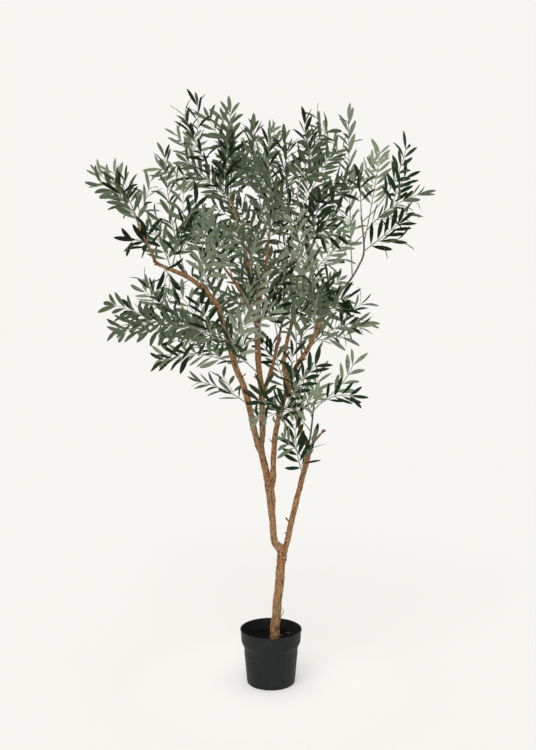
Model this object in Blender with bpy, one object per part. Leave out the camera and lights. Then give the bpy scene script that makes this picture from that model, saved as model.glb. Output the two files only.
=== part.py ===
"""Artificial olive tree in a plain nursery pot, about 2.1 m tall.

Metres, +Z up. The origin is the centre of the pot's flat underside, +X is the tree's right and -Y its front.
Real-wood limbs stand on the cast fill of a round pot, and wired sprays of fabric leaves are fixed to the
limbs. The pot, its fill, each limb and each spray is one solid. Neighbours keep SEAT_GAP between them.
"""

import random
from dataclasses import dataclass

import bpy
import numpy as np

# Driving dimensions
SEAT_GAP = 0.0003

POT_HEIGHT = 0.188
POT_RIM_RADIUS = 0.110
POT_COLLAR_RADIUS = 0.106
POT_COLLAR_HEIGHT = 0.050
POT_BODY_RADIUS = 0.0955
POT_BASE_RADIUS = 0.0855
POT_SHOULDER_HEIGHT = 0.109
POT_WALL = 0.0028
POT_FLOOR = 0.0035
POT_CORNER = 0.0025
POT_SIDES = 30
FILL_HEIGHT = 0.1497

RING_SPACING = 0.052
LIMB_SIDES = 8
WAND_SIDES = 5

STEM_RADIUS = 0.0024
STEM_TIP_RADIUS = 0.0015
TWIG_RADIUS = 0.0018
TWIG_TIP_RADIUS = 0.0013
STEM_STEP = 0.070
TWIG_SPACING = 0.125
TWIG_SHARE = 0.46
TWIG_ANGLE = np.radians(48)
TWIG_END_ANGLE = np.radians(36)
TWIG_SPREAD = np.radians(40)
SHORTEST_TWIG = 0.055
LONGEST_TWIG = 0.17

LEAF_LENGTH = 0.087
LEAF_WIDTH = 0.0215
LEAF_THICKNESS = 0.0022
LEAF_WIDEST = 0.45
LEAF_ANGLE = np.radians(44)
LEAF_SINK = 0.0005
LEAF_SIZES = (0.88, 1.08)
LEAF_TILT = 0.3
TIP_SINK = 0.004
TIP_LEAF = 0.070
PAIR_SPACING = 0.074
PAIR_TURN = np.radians(28)
BARE_SHARE = 0.16
LEAF_SEED = 1000

SPACE_MARGIN = 0.003
LIMB_CLEARANCE = 0.0025

# Each chain is one smooth line of wood, cut into its pieces: name, then the points (x, y, z, radius) it
# passes through. The first piece of every chain but the leader starts inside the limb that carries it.
LEADER = (
    ("trunk", ((0.012, 0.0, 0.150, 0.0178), (0.018, 0.0, 0.225, 0.0165),
               (0.033, 0.0, 0.383, 0.0162), (0.037, 0.0, 0.460, 0.0168))),
    ("left_stem", ((0.020, 0.0, 0.500, 0.0130), (0.006, 0.0, 0.590, 0.0122),
                   (-0.012, 0.0, 0.715, 0.0130), (-0.035, 0.0, 0.830, 0.0118))),
    ("middle_bough", ((-0.030, 0.0, 0.890, 0.0112), (-0.035, 0.015, 1.040, 0.0110),
                      (-0.048, 0.030, 1.180, 0.0108), (-0.047, 0.070, 1.372, 0.0092),
                      (-0.075, 0.090, 1.474, 0.0080), (-0.109, 0.110, 1.589, 0.0064),
                      (-0.126, 0.112, 1.664, 0.0050), (-0.153, 0.115, 1.757, 0.0036))),
)
RIGHT_SIDE = (
    ("right_stem", ((0.038, 0.0, 0.440, 0.0105), (0.056, 0.010, 0.490, 0.0107),
                    (0.096, 0.030, 0.654, 0.0104), (0.128, 0.050, 0.771, 0.0103),
                    (0.136, 0.055, 0.822, 0.0098))),
    ("right_bough", ((0.119, 0.060, 0.864, 0.0088), (0.082, 0.070, 0.980, 0.0082),
                     (0.048, 0.080, 1.140, 0.0076), (0.084, 0.090, 1.320, 0.0066),
                     (0.072, 0.100, 1.420, 0.0058), (0.082, 0.120, 1.564, 0.0038))),
)
LEFT_SIDE = (
    ("left_bough", ((-0.034, 0.0, 0.822, 0.0105), (-0.052, -0.010, 0.864, 0.0108),
                    (-0.088, -0.040, 1.030, 0.0110), (-0.128, -0.060, 1.136, 0.0105),
                    (-0.168, -0.085, 1.284, 0.0098), (-0.200, -0.100, 1.360, 0.0092))),
    ("left_arm", ((-0.280, -0.110, 1.433, 0.0082), (-0.385, -0.120, 1.480, 0.0066),
                  (-0.408, -0.120, 1.513, 0.0058), (-0.459, -0.120, 1.623, 0.0036))),
)
FRONT_SIDE = (
    ("front_bough", ((-0.012, 0.0, 0.712, 0.0095), (0.006, -0.020, 0.754, 0.0097),
                     (0.013, -0.040, 0.868, 0.0095), (0.035, -0.060, 0.978, 0.0090),
                     (0.080, -0.090, 1.112, 0.0086), (0.131, -0.105, 1.196, 0.0080),
                     (0.198, -0.130, 1.344, 0.0066))),
    ("right_wand", ((0.262, -0.110, 1.413, 0.0046), (0.303, -0.090, 1.475, 0.0042),
                    (0.325, -0.070, 1.535, 0.0039), (0.318, -0.045, 1.660, 0.0034))),
)
INNER_BOUGH = (
    ("inner_bough", ((-0.047, 0.045, 1.260, 0.0080), (-0.068, 0.020, 1.320, 0.0080),
                     (-0.116, -0.050, 1.406, 0.0066), (-0.165, -0.090, 1.475, 0.0040))),
)
UPPER_BOUGH = (
    ("upper_bough", ((-0.047, 0.070, 1.350, 0.0070), (-0.029, 0.100, 1.422, 0.0070),
                     (-0.011, 0.160, 1.564, 0.0054), (-0.004, 0.190, 1.644, 0.0038))),
)
REAR_BOUGH = (
    ("rear_bough", ((-0.034, 0.013, 1.010, 0.0078), (-0.011, 0.090, 1.071, 0.0076),
                    (0.014, 0.170, 1.149, 0.0066), (0.049, 0.330, 1.303, 0.0040))),
)
CUT_STUB = (
    ("cut_stub", ((0.134, 0.055, 0.815, 0.0046), (0.160, 0.045, 0.854, 0.0046),
                  (0.191, 0.030, 0.891, 0.0038))),
)
CENTRE_WAND = (
    ("centre_wand", ((0.107, -0.098, 1.160, 0.0044), (0.105, -0.110, 1.234, 0.0042),
                     (0.140, -0.120, 1.345, 0.0040), (0.139, -0.110, 1.489, 0.0038),
                     (0.111, -0.090, 1.644, 0.0036), (0.089, -0.080, 1.722, 0.0034))),
)
LOW_WAND = (
    ("low_wand", ((0.135, 0.055, 0.822, 0.0042), (0.143, 0.0, 0.890, 0.0040),
                  (0.150, -0.070, 0.996, 0.0034))),
)

# chain, sides of its section, the limbs that its foot is cut clear of
CHAINS = (
    (LEADER, LIMB_SIDES, ()),
    (RIGHT_SIDE, LIMB_SIDES, ("trunk", "left_stem")),
    (LEFT_SIDE, LIMB_SIDES, ("left_stem", "middle_bough")),
    (FRONT_SIDE, LIMB_SIDES, ("left_stem",)),
    (INNER_BOUGH, LIMB_SIDES, ("middle_bough",)),
    (UPPER_BOUGH, LIMB_SIDES, ("middle_bough",)),
    (REAR_BOUGH, LIMB_SIDES, ("middle_bough",)),
    (CUT_STUB, WAND_SIDES, ("right_stem", "right_bough")),
    (CENTRE_WAND, WAND_SIDES, ("front_bough",)),
    (LOW_WAND, WAND_SIDES, ("right_stem", "right_bough", "cut_stub")),
)
WANDS = ("right_wand", "centre_wand", "low_wand")

# Sprays: name, the limb that carries it, share of the limb's length, reach from the stem's foot to the tip of its
# last leaf, arch of the stem, seed of its twigs and leaves
SPRAYS = (
    ("left_tip_low", "left_arm", 1.00, (-0.160, -0.080, 0.180), 0.01, 1),
    ("left_tip_high", "left_arm", 0.90, (-0.145, 0.100, 0.285), 0.01, 2),
    ("left_upright", "left_arm", 0.32, (-0.105, 0.160, 0.515), -0.03, 3),
    ("left_arm_inner", "left_arm", 0.22, (0.110, 0.110, 0.215), -0.02, 4),
    ("left_cluster", "left_arm", 0.69, (-0.075, -0.180, 0.055), 0.02, 5),
    ("left_hanging", "left_arm", 0.57, (0.080, -0.080, -0.165), 0.02, 6),
    ("left_arm_front", "left_arm", 0.46, (0.125, -0.205, 0.255), 0.02, 7),
    ("left_low_high", "left_bough", 0.76, (-0.345, -0.030, 0.235), -0.04, 8),
    ("left_low_tip", "left_bough", 0.68, (-0.435, -0.160, 0.090), 0.01, 9),
    ("left_lower", "left_bough", 0.58, (-0.330, 0.165, 0.035), 0.02, 10),
    ("left_bottom", "left_bough", 0.31, (-0.235, 0.075, 0.105), 0.01, 11),
    ("left_front", "left_bough", 0.50, (-0.060, -0.280, 0.220), 0.03, 12),
    ("crown_left", "middle_bough", 0.97, (-0.190, -0.235, 0.330), -0.02, 9),
    ("crown_left_back", "middle_bough", 0.92, (-0.275, 0.185, 0.390), -0.01, 8),
    ("crown_top", "middle_bough", 1.00, (0.0, -0.075, 0.370), -0.02, 15),
    ("middle_front", "middle_bough", 0.14, (0.005, -0.155, 0.140), -0.01, 16),
    ("middle_back", "middle_bough", 0.50, (-0.240, 0.280, 0.120), 0.02, 17),
    ("crown_mid_left", "upper_bough", 0.85, (-0.085, 0.185, 0.505), -0.02, 18),
    ("crown_mid", "upper_bough", 1.00, (-0.005, -0.240, 0.340), 0.02, 19),
    ("crown_back", "upper_bough", 0.70, (0.060, 0.280, 0.240), 0.03, 20),
    ("crown_mid_right", "right_bough", 1.00, (-0.040, -0.240, 0.415), -0.01, 21),
    ("back_right", "right_bough", 0.62, (0.230, 0.250, 0.210), 0.02, 22),
    ("low_front", "right_stem", 0.76, (-0.045, -0.145, 0.240), -0.02, 2),
    ("inner_left", "inner_bough", 1.00, (-0.135, -0.130, 0.155), 0.02, 24),
    ("crown_right", "centre_wand", 1.00, (0.120, -0.160, 0.260), 0.03, 25),
    ("front_middle", "centre_wand", 0.58, (0.020, -0.190, 0.240), 0.02, 26),
    ("centre_right", "centre_wand", 0.72, (0.140, -0.160, 0.040), 0.02, 27),
    ("centre_back_right", "centre_wand", 0.51, (0.160, 0.175, 0.160), 0.01, 28),
    ("front_right", "front_bough", 0.82, (0.0, -0.330, 0.170), 0.03, 29),
    ("right_low", "front_bough", 0.73, (0.270, 0.080, 0.135), 0.03, 30),
    ("right_cluster", "front_bough", 0.98, (0.085, -0.190, 0.040), 0.01, 31),
    ("crown_right_far", "right_wand", 0.35, (0.005, 0.200, 0.655), -0.03, 6),
    ("right_mid", "right_wand", 0.64, (0.160, -0.100, 0.125), 0.0, 33),
    ("right_back", "right_wand", 0.72, (0.110, 0.325, 0.440), -0.01, 7),
    ("right_tip_mid", "right_wand", 0.80, (0.250, 0.0, 0.185), 0.02, 35),
    ("right_tip_high", "right_wand", 0.93, (0.210, 0.130, 0.345), -0.03, 2),
    ("right_top", "right_wand", 1.00, (-0.025, -0.175, 0.150), 0.0, 37),
    ("low_right_high", "low_wand", 1.00, (0.185, -0.030, 0.195), -0.02, 38),
    ("low_right_low", "low_wand", 0.85, (0.170, -0.150, 0.090), 0.02, 39),
    ("low_right_inner", "low_wand", 0.70, (-0.055, -0.085, 0.240), -0.01, 40),
    ("rear_high", "rear_bough", 1.00, (0.020, 0.130, 0.330), 0.02, 41),
    ("rear_left", "rear_bough", 0.85, (-0.240, 0.150, 0.170), 0.03, 42),
    ("rear_right", "rear_bough", 0.93, (0.240, 0.120, 0.150), 0.03, 43),
)

# Colours are linear RGB
POT_COLOUR = (0.022, 0.024, 0.026)
FILL_COLOUR = (0.020, 0.017, 0.015)
BARK_COLOUR = (0.36, 0.18, 0.08)
WAND_COLOUR = (0.33, 0.36, 0.27)
LEAF_COLOUR = (0.045, 0.105, 0.055)


@dataclass
class Path:
    """A line of wood: ring centres, radii, and the two directions that each ring lies in."""

    points: np.ndarray
    radii: np.ndarray
    tangents: np.ndarray
    normals: np.ndarray
    binormals: np.ndarray

    def piece(self, first, last):
        """The rings from first to last, the first one moved SEAT_GAP on from the piece before."""
        cut = Path(*(values[first : last + 1].copy() for values in vars(self).values()))
        if first:
            cut.points[0] += SEAT_GAP * cut.tangents[0]
        return cut

    def grown(self, sides):
        """The path of a cutter whose faces lie SEAT_GAP outside this limb's, ends included."""
        cutter = self.piece(0, len(self.points) - 1)
        cutter.radii += SEAT_GAP / np.cos(np.pi / sides)
        cutter.points[0] -= SEAT_GAP * cutter.tangents[0]
        cutter.points[-1] += SEAT_GAP * cutter.tangents[-1]
        return cutter

    def at(self, share):
        """The point on the axis at this share of the length."""
        along = np.append(0.0, np.cumsum(lengths(np.diff(self.points, axis=0))))
        return np.array([np.interp(share * along[-1], along, column) for column in self.points.T])


def lengths(vectors):
    return np.linalg.norm(vectors, axis=-1)


def unit(vectors):
    return vectors / lengths(vectors)[..., None]


def path_of(points, radii):
    """A path whose rings are carried along it without twisting."""
    tangents = unit(np.gradient(points, axis=0))
    normal = unit(np.cross(tangents[0], (0.31, 1.0, 0.17)))
    normals = []
    for tangent in tangents:
        normal = unit(normal - tangent * np.dot(normal, tangent))
        normals.append(normal)
    normals = np.array(normals)
    return Path(points, radii, tangents, normals, np.cross(tangents, normals))


def smooth(knots, spacing):
    """Points of a Catmull-Rom curve through the knots, and the index of each knot among them."""
    knots = np.array(knots)
    padded = np.vstack([2 * knots[0] - knots[1], knots, 2 * knots[-1] - knots[-2]])
    rows = []
    marks = [0]
    for before, start, end, after in zip(padded, padded[1:], padded[2:], padded[3:]):
        count = max(1, round(float(lengths((end - start)[:3])) / spacing))
        t = np.arange(count)[:, None] / count
        rows.append(0.5 * (2 * start + (end - before) * t
                           + (2 * before - 5 * start + 4 * end - after) * t**2
                           + (3 * start - before - 3 * end + after) * t**3))
        marks.append(marks[-1] + count)
    return np.vstack(rows + [knots[-1:]]), marks


def tube(path, sides):
    """Vertices and faces of a tube along the path, closed by flat ends."""
    turn = 2 * np.pi * np.arange(sides) / sides
    ring = path.normals[:, None] * np.cos(turn)[:, None] + path.binormals[:, None] * np.sin(turn)[:, None]
    vertices = (path.points[:, None] + path.radii[:, None, None] * ring).reshape(-1, 3)
    faces = [list(range(sides))[::-1]]
    for row in range(len(path.points) - 1):
        for side in range(sides):
            near = row * sides + side
            next_side = row * sides + (side + 1) % sides
            faces.append((near, next_side, next_side + sides, near + sides))
    faces.append([len(vertices) - sides + side for side in range(sides)])
    return vertices, faces


def turned(profile, sides):
    """Vertices and faces of a solid turned about Z, from a profile of (radius, height) that starts and ends
    on the axis and goes round anticlockwise, from the underside up the outside."""
    vertices = []
    starts = []
    for radius, height in profile:
        starts.append(len(vertices))
        for side in range(sides if radius else 1):
            turn = 2 * np.pi * side / sides
            vertices.append((radius * np.cos(turn), radius * np.sin(turn), height))
    faces = []
    for (low, radius), (high, next_radius) in zip(
        zip(starts, (row[0] for row in profile)), zip(starts[1:], (row[0] for row in profile[1:]))
    ):
        for side in range(sides):
            other = (side + 1) % sides
            if not radius:
                faces.append((low, high + other, high + side))
            elif not next_radius:
                faces.append((low + side, low + other, high))
            else:
                faces.append((low + side, low + other, high + other, high + side))
    return vertices, faces


def material(name, colour, roughness):
    made = bpy.data.materials.new(name)
    made.use_nodes = True
    shader = made.node_tree.nodes["Principled BSDF"]
    shader.inputs["Base Color"].default_value = (*colour, 1.0)
    shader.inputs["Roughness"].default_value = roughness
    shader.inputs["Metallic"].default_value = 0.0
    made.diffuse_color = (*colour, 1.0)
    return made


def solid(name, shape, collection=None):
    """An object with this shape, given as vertices and faces."""
    vertices, faces = shape
    mesh = bpy.data.meshes.new(name)
    mesh.from_pydata([tuple(vertex) for vertex in vertices], [], [tuple(face) for face in faces])
    made = bpy.data.objects.new(name, mesh)
    (collection or bpy.context.scene.collection).objects.link(made)
    return made


def finish(made, colour, roughness, smooth_angle):
    made.data.materials.clear()
    made.data.materials.append(material(made.name, colour, roughness))
    made.data.shade_smooth()
    made.data.set_sharp_from_angle(angle=smooth_angle)


def combine(made, operation, other):
    """Applies a Boolean with one object, or with all the objects of a collection, and removes them."""
    modifier = made.modifiers.new(operation.title(), "BOOLEAN")
    modifier.operation = operation
    modifier.solver = "EXACT"
    if isinstance(other, bpy.types.Collection):
        modifier.operand_type = "COLLECTION"
        modifier.collection = other
        used = list(other.objects)
    else:
        modifier.object = other
        used = [other]
    graph = bpy.context.evaluated_depsgraph_get()
    mesh = bpy.data.meshes.new_from_object(made.evaluated_get(graph))
    made.modifiers.clear()
    made.data = mesh
    mesh.name = made.name
    for helper in used:
        bpy.data.objects.remove(helper)


def cut_clear(made, limbs, carriers):
    """Cuts the object SEAT_GAP clear of the limbs that carry it."""
    for carrier in carriers:
        path, sides = limbs[carrier]
        combine(made, "DIFFERENCE", solid("cutter", tube(path.grown(sides), sides)))


def pot_profiles():
    """The pot's outer and inner profiles, from the axis outwards."""
    collar_foot = POT_HEIGHT - POT_COLLAR_HEIGHT
    shoulder = 0.5 * (collar_foot + POT_SHOULDER_HEIGHT)
    shoulder_radius = POT_BODY_RADIUS + 0.35 * (POT_COLLAR_RADIUS - POT_BODY_RADIUS)
    lip = POT_HEIGHT - 0.004
    outside = [
        (0.0, 0.0),
        (POT_BASE_RADIUS - POT_CORNER, 0.0),
        (POT_BASE_RADIUS, POT_CORNER),
        (POT_BODY_RADIUS, POT_SHOULDER_HEIGHT),
        (shoulder_radius, shoulder),
        (POT_COLLAR_RADIUS, collar_foot),
        (POT_RIM_RADIUS - 0.0015, lip - 0.001),
        (POT_RIM_RADIUS, lip),
        (POT_RIM_RADIUS, POT_HEIGHT - 0.001),
        (POT_RIM_RADIUS - 0.001, POT_HEIGHT),
    ]
    inside = [
        (0.0, POT_FLOOR),
        (POT_BASE_RADIUS - POT_WALL, POT_FLOOR),
        (POT_BODY_RADIUS - POT_WALL, POT_SHOULDER_HEIGHT),
        (shoulder_radius - POT_WALL, shoulder),
        (POT_COLLAR_RADIUS - POT_WALL, collar_foot),
        (POT_RIM_RADIUS - POT_WALL, POT_HEIGHT),
    ]
    return outside, inside


def build_pot():
    outside, inside = pot_profiles()
    made = solid("pot", turned(outside + inside[::-1], POT_SIDES))
    finish(made, POT_COLOUR, 0.5, np.radians(35))


def build_fill():
    """The cast fill follows the pot's inner wall and ends in a level top below the rim."""
    inside = pot_profiles()[1]
    below = [point for point in inside if 0.0 < point[0] and point[1] < FILL_HEIGHT]
    (low_radius, low), (high_radius, high) = below[-1], inside[len(below) + 1]
    top_radius = low_radius + (high_radius - low_radius) * (FILL_HEIGHT - low) / (high - low)
    wall = below + [(top_radius, FILL_HEIGHT)]
    side = [(radius - 2 * SEAT_GAP, max(height, POT_FLOOR + SEAT_GAP)) for radius, height in wall]
    profile = [(0.0, side[0][1])] + side + [(0.0, FILL_HEIGHT)]
    made = solid("fill", turned(profile, POT_SIDES))
    finish(made, FILL_COLOUR, 0.95, np.radians(35))


def build_limbs():
    """Every limb as an object. Returns name -> (path, sides) for what is fixed to them."""
    limbs = {}
    for chain, sides, carriers in CHAINS:
        knots = [knot for _, points in chain for knot in points]
        line, marks = smooth(knots, RING_SPACING)
        whole = path_of(line[:, :3], line[:, 3])
        first = 0
        used = 0
        for name, points in chain:
            used += len(points)
            path = whole.piece(first, marks[used - 1])
            shape = tube(path, sides)
            if name == "trunk":
                shape[0][:sides, 2] = FILL_HEIGHT + SEAT_GAP  # sawn level, to stand on the fill
            made = solid(name, shape)
            if first == 0:
                cut_clear(made, limbs, carriers)
            finish(made, WAND_COLOUR if name in WANDS else BARK_COLOUR, 0.85, np.radians(60))
            limbs[name] = (path, sides)
            first = marks[used - 1]
    return limbs


def curve(start, control, end, step):
    """Points along a quadratic curve, about one every step."""
    count = max(2, round(float(lengths(end - start)) / step))
    t = np.linspace(0.0, 1.0, count + 1)[:, None]
    return (1 - t) ** 2 * start + 2 * t * (1 - t) * control + t**2 * end


def stem_points(limbs, limb, share, reach, arch):
    """A spray's stem, from the axis of its limb: arch lifts its middle above the straight line to its tip."""
    foot = limbs[limb][0].at(min(share, 0.985))
    reach = np.array(reach) * (1 - (TIP_LEAF - TIP_SINK) / lengths(np.array(reach)))
    up = np.array((0.0, 0.0, 1.0)) - unit(reach) * unit(reach)[2]
    lift = unit(up) if lengths(up) > 0.2 else np.array((0.0, -1.0, 0.0))
    return curve(foot, foot + reach / 2 + 2 * arch * lift, foot + reach, STEM_STEP)


def facing(tangent):
    """The direction beside a twig that lies across the front view."""
    return unit(np.cross(tangent, (0.12, -1.0, 0.08)))


def turned_about(vector, axis, angle):
    """A vector at right angles to the axis, turned about it."""
    return vector * np.cos(angle) + np.cross(axis, vector) * np.sin(angle)


def side_twigs(stem, seed):
    """The twigs of a stem, on alternate sides, shorter towards its tip: (points, roll of its leaves) each."""
    chance = random.Random(seed)
    steps = lengths(np.diff(stem, axis=0))
    length = float(steps.sum())
    count = max(1, round(length / TWIG_SPACING))
    along = np.append(0.0, np.cumsum(steps)) / length
    tangents = unit(np.gradient(stem, axis=0))
    roll = chance.uniform(-1.0, 1.0)
    twigs = []
    for number in range(count):
        share = (number + 0.75 + chance.uniform(-0.15, 0.15)) / (count + 0.9)
        foot = np.array([np.interp(share, along, column) for column in stem.T])
        tangent = unit(np.array([np.interp(share, along, column) for column in tangents.T]))
        turn = roll + np.pi * number + chance.uniform(-TWIG_SPREAD, TWIG_SPREAD)
        beside = turned_about(facing(tangent), tangent, turn)
        reach = TWIG_SHARE * length * (1.15 - 0.6 * share) * chance.uniform(0.85, 1.15)
        reach = min(max(reach, SHORTEST_TWIG), LONGEST_TWIG)
        outwards = tangent * np.cos(TWIG_ANGLE) + beside * np.sin(TWIG_ANGLE)
        end = foot + reach * (tangent * np.cos(TWIG_END_ANGLE) + beside * np.sin(TWIG_END_ANGLE))
        points = curve(foot, foot + 0.5 * reach * outwards, end, STEM_STEP)
        twigs.append((points, turn + chance.uniform(-0.6, 0.6)))
    return roll, twigs


def leaves_on(points, roll, bare, chance):
    """Opposite pairs of leaves along a twig and one at its tip: (root, direction, face direction, length)."""
    steps = lengths(np.diff(points, axis=0))
    length = float(steps.sum())
    along = np.append(0.0, np.cumsum(steps))
    tangents = unit(np.gradient(points, axis=0))
    pairs = max(1, round(length * (1 - bare) / PAIR_SPACING))
    grown = []
    for number in range(pairs):
        distance = length * (bare + (1 - bare) * number / pairs)
        share = distance / length
        foot = np.array([np.interp(distance, along, column) for column in points.T])
        tangent = unit(np.array([np.interp(distance, along, column) for column in tangents.T]))
        turn = roll + chance.uniform(-PAIR_TURN, PAIR_TURN)
        for side in (0.0, np.pi):
            beside = turned_about(facing(tangent), tangent, turn + side)
            angle = LEAF_ANGLE * (1.1 - 0.25 * share) * chance.uniform(0.9, 1.1)
            direction = tangent * np.cos(angle) + beside * np.sin(angle)
            size = LEAF_LENGTH * (1.0 - 0.15 * share) * chance.uniform(*LEAF_SIZES)
            across = np.cross(tangent, beside)
            face = across + chance.uniform(-LEAF_TILT, LEAF_TILT) * np.cross(direction, across)
            grown.append((foot - LEAF_SINK * direction, direction, face, size))
    tip = tangents[-1]
    face = np.cross(tip, turned_about(facing(tip), tip, roll))
    grown.append((points[-1] - TIP_SINK * tip, tip, face, TIP_LEAF))
    return grown


def leaf(root, direction, face, size):
    """One leaf: a flat double pyramid of eight faces, widest a little before its middle."""
    direction = unit(direction)
    beside = unit(np.cross(face, direction))
    face = np.cross(direction, beside)
    broad = LEAF_WIDTH * size / LEAF_LENGTH / 2
    middle = root + LEAF_WIDEST * size * direction
    vertices = (
        root,
        middle + broad * beside,
        middle + LEAF_THICKNESS / 2 * face,
        middle - broad * beside,
        middle - LEAF_THICKNESS / 2 * face,
        root + size * direction,
    )
    faces = []
    for side in range(4):
        near = 1 + side
        beyond = 1 + (side + 1) % 4
        faces.append((0, beyond, near))
        faces.append((5, near, beyond))
    return vertices, faces


class Spaces:
    """Says which points belong to a spray's own space: nearer its stem than any other, and off the limbs."""

    def __init__(self, limbs, stems):
        self.stems = [self.sampled(stem) for stem in stems]
        axes = [self.sampled(np.column_stack([path.points, path.radii])) for path, _ in limbs.values()]
        self.axes = np.vstack(axes)

    @staticmethod
    def sampled(points):
        """Points every centimetre or less along a line."""
        rows = [points[:1]]
        for start, end in zip(points, points[1:]):
            count = int(np.ceil(lengths((end - start)[:3]) / 0.01))
            rows.append(start + (end - start) * (np.arange(count)[:, None] + 1) / count)
        return np.vstack(rows)

    def hold(self, points, own):
        """Whether each point is in the space of spray number own."""
        near = [lengths(points[:, None] - stem).min(axis=1) for stem in self.stems]
        others = np.min(near[:own] + near[own + 1 :], axis=0)
        limb = (lengths(points[:, None] - self.axes[:, :3]) - self.axes[:, 3]).min(axis=1)
        return (near[own] + SPACE_MARGIN < others) & (limb > LIMB_CLEARANCE)

    def kept_twig(self, points, own):
        """The twig up to where it would leave the space, or None if too little is left."""
        fine = self.sampled(points)
        inside = self.hold(fine[1:], own)
        if inside.all():
            return points
        kept = fine[: 1 + int(np.argmin(inside))]
        if lengths(np.diff(kept, axis=0)).sum() < SHORTEST_TWIG:
            return None
        return kept[[0, len(kept) // 2, -1]]

    def holds_leaf(self, root, direction, face, size, own):
        vertices, _ = leaf(root, direction, face, size)
        corners = np.array(vertices)
        halfway = (corners[1:5] + corners[5]) / 2
        return self.hold(np.vstack([corners[1:], halfway, root + 0.2 * size * direction]), own).all()


def build_spray(name, number, limb, stem, seed, limbs, spaces):
    """One mass: a stem, its twigs and their leaves, joined into one solid that meets its limb SEAT_GAP clear."""
    parts = bpy.data.collections.new(name + "_parts")
    bpy.context.scene.collection.children.link(parts)
    made = solid(name, tube(path_of(stem, np.linspace(STEM_RADIUS, STEM_TIP_RADIUS, len(stem))), 3))
    cut_clear(made, limbs, (limb,))
    roll, twigs = side_twigs(stem, seed)
    kept = [(stem, roll, BARE_SHARE)]
    for points, turn in twigs:
        points = spaces.kept_twig(points, number)
        if points is not None:
            radii = np.linspace(TWIG_RADIUS, TWIG_TIP_RADIUS, len(points))
            solid("twig", tube(path_of(points, radii), 3), parts)
            kept.append((points, turn, 2 * BARE_SHARE))
    chance = random.Random(LEAF_SEED + seed)
    for points, turn, bare in kept:
        for grown in leaves_on(points, turn, bare, chance):
            if spaces.holds_leaf(*grown, number):
                solid("leaf", leaf(*grown), parts)
    combine(made, "UNION", parts)
    bpy.data.collections.remove(parts)
    finish(made, LEAF_COLOUR, 0.7, np.radians(30))


def build_sprays(limbs):
    stems = [stem_points(limbs, limb, share, reach, arch) for _, limb, share, reach, arch, _ in SPRAYS]
    spaces = Spaces(limbs, stems)
    for number, ((name, limb, *_, seed), stem) in enumerate(zip(SPRAYS, stems)):
        build_spray(name, number, limb, stem, seed, limbs, spaces)


for existing in list(bpy.data.objects):
    bpy.data.objects.remove(existing)
build_pot()
build_fill()
build_sprays(build_limbs())
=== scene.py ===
# %% [markdown]
# # An artificial olive tree, dressed around its frame
# The real object is a decoration for a room: sticks of real wood, cast into the fill of a plain nursery pot,
# with wired sprays of fabric leaves fixed along them. The frame that is loaded here holds all of it as plain
# solids. This lesson keeps their places and gives each its finished surface: bark with knots and fibres,
# thin pale stems, some two thousand leaves, a moulded pot and its dark fill. Everything is in metres, +Z is
# up, and the origin is the centre of the pot's underside.

# %% Load the frame
import math
import random
from dataclasses import dataclass

import bpy
import numpy as np
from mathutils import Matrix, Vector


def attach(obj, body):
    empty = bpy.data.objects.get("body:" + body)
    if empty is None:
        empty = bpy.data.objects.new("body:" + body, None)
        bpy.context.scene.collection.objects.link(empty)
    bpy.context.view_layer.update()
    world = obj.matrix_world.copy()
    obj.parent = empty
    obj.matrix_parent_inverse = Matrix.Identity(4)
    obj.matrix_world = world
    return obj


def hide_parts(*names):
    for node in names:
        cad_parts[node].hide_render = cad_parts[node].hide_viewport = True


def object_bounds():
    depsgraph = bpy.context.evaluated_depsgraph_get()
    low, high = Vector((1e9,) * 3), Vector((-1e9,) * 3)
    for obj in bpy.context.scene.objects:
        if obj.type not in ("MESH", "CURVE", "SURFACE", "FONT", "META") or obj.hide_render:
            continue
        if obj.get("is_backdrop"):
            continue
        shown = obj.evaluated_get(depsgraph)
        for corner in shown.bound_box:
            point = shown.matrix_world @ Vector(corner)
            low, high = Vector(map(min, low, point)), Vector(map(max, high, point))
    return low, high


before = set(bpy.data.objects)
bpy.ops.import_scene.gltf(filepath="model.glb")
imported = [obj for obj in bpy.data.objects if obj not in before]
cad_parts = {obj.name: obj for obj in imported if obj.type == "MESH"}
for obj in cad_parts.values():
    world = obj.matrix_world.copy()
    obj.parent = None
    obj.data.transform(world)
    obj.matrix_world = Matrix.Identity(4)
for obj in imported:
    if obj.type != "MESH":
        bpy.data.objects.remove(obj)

cad_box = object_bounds()
print(f"{len(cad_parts)} nodes, {cad_box[1].z:.3f} m tall")

# %% [markdown]
# ## The camera
# A camera that looks level keeps upright things upright in the picture. To see a tree from pot to crown it
# stands at the height of the tree's middle, three metres off, and its frame is shifted down a little, as a
# view camera's back would be, instead of tilting the whole camera. The focal length is stated in pixels,
# because that is what ties a size in metres to a size in the picture: pixels = focal length * size /
# distance.

# %% Camera
PICTURE = (536, 750)
FOCAL_PIXELS = 838.0
HORIZON_PIXEL = 331.4
SENSOR = 36.0
EYE = (-0.0107, -3.0, 1.25)

camera_data = bpy.data.cameras.new("camera")
camera_data.sensor_width = SENSOR
camera_data.lens = FOCAL_PIXELS * SENSOR / PICTURE[1]
camera_data.shift_y = (HORIZON_PIXEL - PICTURE[1] / 2) / PICTURE[1]
camera = bpy.data.objects.new("camera", camera_data)
camera.location = EYE
camera.rotation_euler = (math.pi / 2, 0.0, 0.0)
bpy.context.scene.collection.objects.link(camera)
bpy.context.scene.camera = camera
print(f"lens {camera_data.lens:.1f} mm, shift {camera_data.shift_y:.3f}")

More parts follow.
